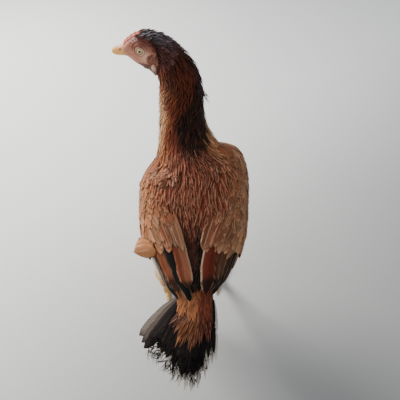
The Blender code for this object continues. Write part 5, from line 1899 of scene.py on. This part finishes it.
@dataclass
class Face:
    """Eyes, lids, bill, comb and ear lobes."""

    head: HeadShape = field(default_factory=HeadShape)
    bill_length: float = 0.0205
    bill_drop: float = 0.0032
    gape: float = 0.006
    lower_length: float = 0.019
    comb: Pair = (13.8, 15.85)

    def build(self) -> None:
        """Makes each piece of the face."""
        eye = EyeFinish().material()
        lid = CombFinish("eyelid", tuple(ink("8a5c48")), tuple(ink("4c2e25"))).material()
        lobe = CombFinish("ear lobe", tuple(ink("e3b7a4")), tuple(ink("b98775"))).material()
        horn = HornFinish("bill horn", tuple(ink("ffbc66")), tuple(ink("7a5238"))).material()
        for name, hand in HANDS.items():
            dress(self.eye(name, hand), eye, "eye", "eye_" + name)
            dress(self.lid(name, hand), lid, "face_skin", "head")
            dress(self.lobe(name, hand), lobe, "face_skin", "ear_lobe_" + name)
        dress(
            self.crest(), CombFinish("comb", tuple(ink("dc8672")), tuple(ink("bc6454"))).material(),
            "comb_skin", "comb"
        )
        dress(self.bill("bill_upper", True), horn, "bill_horn", "beak_upper")
        dress(self.bill("bill_lower", False), horn, "bill_horn", "beak_lower")

    def eye(self, name: str, hand: int) -> Piece:
        """An eyeball whose cornea stands out a little."""
        middle = self.head.eye_middle(hand)
        piece = Bench.ball(f"eyeball_{name}", middle, self.head.eye_radius, 64, 48)
        points = Bench.points(piece) - middle
        ahead = points @ (self.head.side * hand) / self.head.eye_radius
        far = np.sqrt(np.clip(1 - ahead**2, 0, 1))
        bulge = 1 + 0.07 * smooth(0.62, 1.0, ahead)
        Bench.move(piece, middle + points * bulge[:, None])
        Bench.carry(piece, "far", np.where(ahead > 0, far / 0.8, 2.0))
        return piece

    def lid(self, name: str, hand: int) -> Piece:
        """The thick wrinkled rim of the eyelids."""
        head = self.head
        turn = np.linspace(0, 2 * math.pi, 72, endpoint=False)
        wide, tall = head.opening
        rings = []
        for a in turn:
            long, short = wide * 1.02 * math.cos(a), tall * 1.03 * math.sin(a)
            ahead = long * math.cos(head.slant) - short * math.sin(head.slant)
            high = long * math.sin(head.slant) + short * math.cos(head.slant) - 0.0002
            out = head.eye_side + math.sqrt(max((head.eye_radius + 0.0002) ** 2 - ahead**2 - high**2, 0.0))
            middle = (
                head.middle + head.forward * ahead + head.up * (head.eye_up + high) + head.side * hand * out
            )
            radial, aside = unit(head.forward * ahead + head.up * (high + 0.0002)), head.side * hand
            thick = 0.0005 * (1 + 0.12 * math.sin(11 * a))
            around = np.linspace(0, 2 * math.pi, 12, endpoint=False)
            rings.append([middle + (radial * math.cos(k) + aside * math.sin(k)) * thick for k in around])
        rings.append(rings[0])
        piece = Bench.rolled(f"eyelid_{name}", np.array(rings), closed=False)
        return piece

    def lobe(self, name: str, hand: int) -> Piece:
        """A small wrinkled ear lobe."""
        head = self.head
        place = head.middle - head.forward * 0.0196 - head.up * 0.0146 + head.side * hand * 0.0182
        piece = Bench.ball(f"lobe_{name}", place, 0.0053, 40, 28)
        points = Bench.points(piece) - place
        ahead, out, high = points @ head.forward, points @ head.side, points @ head.up
        fold = 1 + 0.1 * np.sin(high * 2300 + ahead * 900)
        taper = 1 - 0.25 * smooth(0.0, 0.005, high)
        moved = (
            np.outer(ahead * 0.85 * taper, head.forward) + np.outer(out * 0.8 * fold, head.side)
            + np.outer(high * 1.3, head.up)
        )
        Bench.move(piece, place + moved)
        return piece

    def crest(self) -> Piece:
        """Low pea comb: three rows of small bulbs melted together."""
        bulbs = []
        for row, radius in ((0, 0.0032), (-1, 0.0023), (1, 0.0023)):
            for k in range(11):
                share = k / 10
                t = mix(self.comb[0], self.comb[1], share)
                _, side, up, _ = Body.axes(t)
                size = radius * (0.78 + 0.3 * math.sin(math.pi * share)) * (1.1 - 0.25 * share)
                size *= 1 + 0.07 * (-1) ** k
                top = Body().point(t, 0.0, 0.0) + side * row * 0.0031 - up * 0.0008 * abs(row)
                bulbs.append(Bench.ball("bulb", top, size, 20, 14))
        crest = bulbs.pop(0)
        crest.name = crest.data.name = "comb_skin"
        Bench.join(crest, bulbs)
        Bench.apply(crest, "REMESH", mode="VOXEL", voxel_size=0.00036)
        Bench.apply(crest, "SMOOTH", factor=0.5, iterations=16)
        return crest

    def mouth(self, distance: Array) -> Array:
        """How far the mouth line has curved down at a distance from the base of the bill."""
        hook = np.maximum(distance - self.lower_length, 0.0) / (self.bill_length - self.lower_length)
        return self.bill_drop * (0.45 * (distance / self.bill_length) ** 1.8 + 0.45 * hook**1.3)

    def bill(self, name: str, upper: bool) -> Piece:
        """One half of the bill, with a ridge and a nostril at each side of the upper half."""
        row, side, up, forward = Body.axes(BILL_BASE)
        half, above, below = row[4:7]
        length = self.bill_length if upper else self.lower_length
        distances = np.concatenate((
            np.linspace(-self.gape, -0.0004, 8), (1 - (1 - np.linspace(0, 1, 44)) ** 1.4) * 0.99 * length,
        ))
        angles = np.linspace(0, math.pi, 25)
        rings = []
        for d in distances:
            share, back = max(d, 0.0) / length, max(-d, 0.0) / self.gape
            taper = (1 - 0.3 * share) * max(1 - share**5, 0.0) ** 0.45
            centre = row[:3] + SHIFT + forward * (0.0004 + d) - up * (self.mouth(max(d, 0.0)) + 0.0012)
            tall = (above + 0.0012 if upper else below - 0.0014) * (0.06 + 0.94 * taper) * (1 - 0.75 * back)
            wide = (
                half * (0.05 + 0.95 * taper * (1 - 0.35 * share)) * (1.0 if upper else 0.95) + 0.0022 * back
            )
            rise = 0.0001 + tall * np.sin(angles) ** (0.85 if upper else 1.0)
            ridge = 0.0004 * hump(angles - math.pi / 2, 0.35) * taper if upper else 0.0
            ring = (
                centre + side * (wide * np.cos(angles))[:, None]
                + up * ((rise + ridge) * (1 if upper else -1))[:, None]
            )
            rings.append(ring)
        piece = Bench.rolled(name, np.array(rings))
        points = Bench.points(piece)
        offset = points - row[:3] - SHIFT
        ahead, out, high = offset @ forward, offset @ side, offset @ up
        if upper:
            pit = np.hypot((ahead - 0.0052) / 1.7, high - 0.0031)
            depth = 0.0013 * hump(pit, 0.0021) * smooth(0.003, 0.005, np.abs(out))
            lip = 0.0003 * hump(pit - 0.0016, 0.0014) * smooth(0.003, 0.005, np.abs(out))
            points = points - np.outer((depth - lip) * np.sign(out), side)
            Bench.move(piece, points)
            # painted shade darkens the nostril pits, carried in the ridge attribute with the bill's real
            # dark ridge
            dark = np.clip(hump(pit, 0.0022) * 1.3 * smooth(0.002, 0.004, np.abs(out)), 0, 1)
            crown = hump(out, 0.004) * smooth(0.001, 0.004, high) * (1 - smooth(0.014, 0.019, ahead))
            Bench.carry(piece, "ridge", np.maximum(dark, crown * smooth(0.006, 0.01, ahead)))
            Bench.carry(piece, "cere", smooth(0.0, 0.0022, 1.25 * high - 0.0006 - ahead) * 0.9)
        else:
            Bench.carry(piece, "ridge", hump(ahead, 0.006) * 0.3)
        return piece


@dataclass
class Leg:
    """Scaled shank, toes and claws of one leg, and the feathers of its thigh."""

    name: str
    hand: int
    shank_wide: float = 0.007
    shank_deep: float = 0.008
    scutes: int = 15
    scute_step: float = 0.0007
    foot_height: float = 0.02
    claw_length: float = 0.0115

    def build(self, rng: Rng, scales: Material, claw: Material) -> None:
        """Makes each piece of the leg."""
        dress(self.shank(), scales, "leg_scales", "shank_" + self.name)
        dress(self.foot(), scales, "leg_scales", "foot_" + self.name)
        for toe, (degrees, length, radius) in TOES.items():
            dress(self.claw(toe, degrees, length, radius), claw, "claw_horn", f"claw_{toe}_{self.name}")
        finish = PlumageFinish("thigh feathers " + self.name, barbs=34.0, wear=0.4).material()
        dress(
            Bench.plumage("thigh_coat_" + self.name, [self.feathers(rng).mesh(rng)]), finish, "body_plumage"
        )

    def scale_relief(self, front: Array, step: Array) -> tuple[Array, Array]:
        """Height and seams of the scales.

        Args:
            front: Angle from the front of the shank or the top of the toe.
            step: Count of scutes from the upper end, with its fraction.

        Returns:
            The height in shares of the scute's step, and how near each place is to a seam.
        """
        side = np.sign(np.sin(front))
        shifted = (step + 0.25 * side) % 1.0
        plate_rise = np.sqrt(np.clip(1 - (shifted - 0.35) ** 2 / 0.45, 0, 1)) * smooth(0, 0.1, shifted)
        middle_seam = hump(np.sin(front), 0.16) * (np.cos(front) > 0)
        facing = smooth(0.05, 0.35, np.cos(front))
        net = np.abs(
            np.sin(front * 7) * np.sin(step * math.pi * 2.2 + np.floor(front * 7 / math.pi) * math.pi / 2)
        )
        seam = mix(1 - net**0.5, np.maximum(1 - smooth(0.0, 0.16, shifted), middle_seam), facing)
        return mix(net * 0.35, plate_rise * (1 - 0.6 * middle_seam), facing), np.clip(seam, 0, 1)

    def shank(self) -> Piece:
        """Shank from the hock to the foot."""
        hock = np.array(HOCK[self.hand]) + SHIFT
        foot = self.ground + UP * self.foot_height
        ss, aa = tube(np.linspace(-0.02, 1.0, 190), 56)
        swell = np.interp(
            ss, (-0.02, 0.03, 0.07, 0.13, 0.2, 0.9, 0.96, 1.0),
            (1.15, 1.42, 1.45, 1.22, 1.0, 1.0, 1.08, 1.12)
        )
        waist = swell * (1 + 0.1 * np.abs(2 * ss - 1) ** 2)
        height, seam = self.scale_relief(aa, ss * self.scutes)
        lift = self.scute_step * height
        wide, deep = self.shank_wide * waist + lift * 0.6 - 0.0003, self.shank_deep * waist + lift - 0.0003
        rings = self.limb(hock, foot, ss, aa, wide, deep)
        piece = Bench.rolled("scaled_shank_" + self.name, rings)
        self.carry_seam(piece, rings.reshape(-1, 3), seam.ravel())
        return piece

    @property
    def ground(self) -> Array:
        """Middle of the foot on the ground."""
        return np.array(FOOT[self.hand]) + SHIFT

    def toe_axes(self, degrees: float) -> tuple[Array, Array]:
        """Directions along a toe and across it."""
        turn = math.radians(degrees)
        along = np.array((math.sin(turn) * self.hand, math.cos(turn), 0.0))
        return along, np.array((along[1], -along[0], 0.0))

    @staticmethod
    def limb(top: Array, low: Array, shares: Array, angles: Array, wide: Array, deep: Array) -> Array:
        """Rings of a straight limb of oval section."""
        flat = np.stack((wide * np.sin(angles), deep * np.cos(angles), np.zeros_like(angles)), axis=-1)
        return top + (low - top) * shares[..., None] + flat

    @staticmethod
    def carry_seam(piece: Piece, places: Array, seam: Array) -> None:
        """Stores how near each point is to a seam, read from the nearest of the modelled places."""
        found = nearest(Bench.points(piece), places)
        Bench.carry(piece, "seam", seam[found])

    def toe(self, degrees: float, length: float, radius: float) -> tuple[Array, Array]:
        """Rings of one toe and the seams of its scales."""
        root = self.ground
        along, across = self.toe_axes(degrees)
        pads = 3 if length < SHORT_TOE else 4
        ss, aa = tube(np.linspace(0, 1, 80), 30)
        height, seam = self.scale_relief(aa, ss * length / 0.0036)
        size = radius * mix(1.12, 0.7, ss) * (1 + 0.08 * np.cos(2 * math.pi * ss * pads))
        size = size * np.sqrt(np.clip(1 - smooth(0.93, 1.04, ss) ** 2, 0, 1))
        lift = self.scute_step * 0.7 * height * smooth(-0.3, 0.3, np.cos(aa))
        middle = root + along * (length * ss)[..., None] + UP * (size * 0.86 + 0.0035 * (1 - ss) ** 2)[
            ..., None
        ]
        rings = middle + across * (size * np.sin(aa))[..., None] + UP * ((size + lift) * np.cos(aa))[
            ..., None
        ]
        rings[..., 2] = np.maximum(rings[..., 2], 0.0)
        return rings, seam

    def foot(self) -> Piece:
        """Four toes joined at the ball of the foot."""
        foot = self.ground
        ss, aa = tube(np.linspace(0, 1, 60), 56)
        height, seam = self.scale_relief(aa, ss * 3.2)
        waist = np.interp(ss, (0, 0.3, 0.7, 1.0), (1.03, 1.14, 1.25, 1.15))
        lift = self.scute_step * height
        wide, deep = self.shank_wide * waist + lift * 0.6, self.shank_deep * waist + lift
        top, low = foot + UP * (self.foot_height + 0.0006), foot + UP * 0.0008
        rings = self.limb(top, low, ss, aa, wide, deep)
        base = Bench.rolled("scaled_foot_" + self.name, rings)
        places, seams, toes = [rings.reshape(-1, 3)], [seam.ravel()], []
        for degrees, length, radius in TOES.values():
            toe_rings, toe_seam = self.toe(degrees, length, radius)
            toes.append(Bench.rolled("toe", toe_rings))
            places.append(toe_rings.reshape(-1, 3))
            seams.append(toe_seam.ravel())
        Bench.join(base, toes)
        self.carry_seam(base, np.concatenate(places), np.concatenate(seams))
        return base

    def claw(self, toe: str, degrees: float, length: float, radius: float) -> Piece:
        """Horny claw at the end of a toe, curved down and just clear of the ground."""
        along, across = self.toe_axes(degrees)
        size = radius * 0.7
        start = self.ground + along * (length - 0.0012) + UP * (size * 0.86 + 0.0004)
        reach = (self.claw_length + 0.0012) * (0.85 if length < SHORT_TOE else 1.0)
        ss, aa = tube(np.linspace(0, 0.985, 26), 20)
        thick = size * 0.86 * (1 - ss) ** 0.7
        drop = 0.0006 * np.sin(math.pi * ss) - 0.0014 * ss**2
        middle = start + along * (reach * ss)[..., None] + UP * drop[..., None]
        side = np.sin(aa) * (1 - 0.25 * (np.cos(aa) < -0.2))
        rings = middle + across * (thick * 0.75 * side)[..., None] + UP * (thick * np.cos(aa))[..., None]
        rings[..., 2] = np.maximum(rings[..., 2], 0.0002)
        piece = Bench.rolled(f"horn_{toe}_{self.name}", rings)
        points = Bench.points(piece)
        Bench.carry(piece, "ridge", smooth(0.3, 1.0, (points - start) @ along / reach) * 0.5)
        return piece

    def feathers(self, rng: Rng) -> Feathers:
        """Feathers of the thigh, shorter towards the hock."""
        surface = Thigh(self.hand)
        u, v = scatter(surface, 0.03, 0.98, -math.pi, math.pi, 0.0062, 0.007, rng)
        count = len(u)
        length = mix(0.012, 0.03, smooth(0.0, 0.6, u)) * jitter(rng, count, 0.1)
        half = mix(0.0028, 0.0068, smooth(0.0, 0.6, u)) * jitter(rng, count, 0.1)
        length = np.minimum(length, 0.006 + u * 0.105)
        path = walk(surface, u, v, rng.normal(0, 0.12, count), length, spread(8), rng.normal(0, 0.15, count))
        tint = mix(Palette.TAN, Palette.CINNAMON, rng.random(count)[:, None]) * jitter(rng, count, 0.12)[
            :, None
        ]
        return Feathers(
            surface, Outline.ROUND, Ring.FINE, 8, path, half, -0.0035 + rng.normal(0, 0.0002, count),
            0.0008 + rng.normal(0, 0.0004, count), tint, 0.2 * rng.random(count), rng.random(count),
            fray=0.35, roll=0.05, splits=2,
        )


@dataclass
class Studio:
    """Pale floor with painted light falloff, soft overcast light and the camera."""

    height: float = 0.808
    behind: float = 0.464
    aside: float = 0.01
    tilt: float = 47.2
    view: float = 48.0
    sky_strength: float = 0.6
    # name, place, width and power of each lamp, and the point that they are turned to
    lamps: tuple[tuple[str, tuple[float, float, float], float, float], ...] = (
        ("key", (-1.1, 1.1, 1.25), 0.8, 60.0),
        ("fill", (-1.0, -0.9, 1.1), 0.8, 6.0),
    )
    aim: tuple[float, float, float] = (0.0, 0.0, 0.25)

    def build(self) -> None:
        """Makes the floor, the lights and the camera."""
        self.floor()
        self.lights()
        self.camera()

    def floor(self) -> None:
        """A wide flat floor."""
        Bench.pick(None)
        bpy.ops.mesh.primitive_plane_add(size=12, location=(0, 0, 0))
        floor = bpy.context.object
        floor.name = "floor"
        bpy.ops.object.mode_set(mode="EDIT")
        bpy.ops.mesh.select_all(action="SELECT")
        bpy.ops.mesh.subdivide(number_cuts=11)
        bpy.ops.object.mode_set(mode="OBJECT")
        floor.data.materials.append(PaintedFalloffFloorFinish().material())
        Bench.pick(None)

    def lights(self) -> None:
        """A bright sky, a broad key from the left and front, and a weak fill from the left and behind."""
        world = bpy.data.worlds.new("sky")
        bpy.context.scene.world = world
        world.use_nodes = True
        sky = world.node_tree.nodes["Background"].inputs
        sky["Color"].default_value = (0.9, 0.94, 1.0, 1)
        sky["Strength"].default_value = self.sky_strength
        for name, place, size, power in self.lamps:
            light = bpy.data.lights.new(name, "AREA")
            light.size, light.energy = size, power
            light.color = (1.0, 0.975, 0.94)
            lamp = bpy.data.objects.new(name, light)
            lamp.location = place
            lamp.rotation_euler = (Vector(self.aim) - Vector(place)).to_track_quat("-Z", "Y").to_euler()
            bpy.context.scene.collection.objects.link(lamp)

    def camera(self) -> None:
        """The camera, above and behind the hen."""
        data = bpy.data.cameras.new("camera")
        data.angle = math.radians(self.view)
        camera = bpy.data.objects.new("camera", data)
        camera.location = (self.aside + SHIFT[0], SHIFT[1] - self.behind, self.height)
        camera.rotation_euler = (math.radians(90 - self.tilt), 0, 0)
        bpy.context.scene.collection.objects.link(camera)
        bpy.context.scene.camera = camera


def main() -> None:
    """Builds the hen's looks from the skin outwards, then the studio."""
    rng = np.random.default_rng(SEED)
    Skin().build()
    Face().build()
    Coat().build(rng)
    for name, hand in HANDS.items():
        WingPlumage(name, hand).build(rng)
    TailPlumage().build(rng)
    scales = ScaleFinish().material()
    claw = HornFinish("claw horn", tuple(ink("c8a878")), tuple(ink("6a4d34"))).material()
    for name, hand in HANDS.items():
        Leg(name, hand).build(rng, scales, claw)
    Studio().build()


if __name__ == "__main__":
    main()
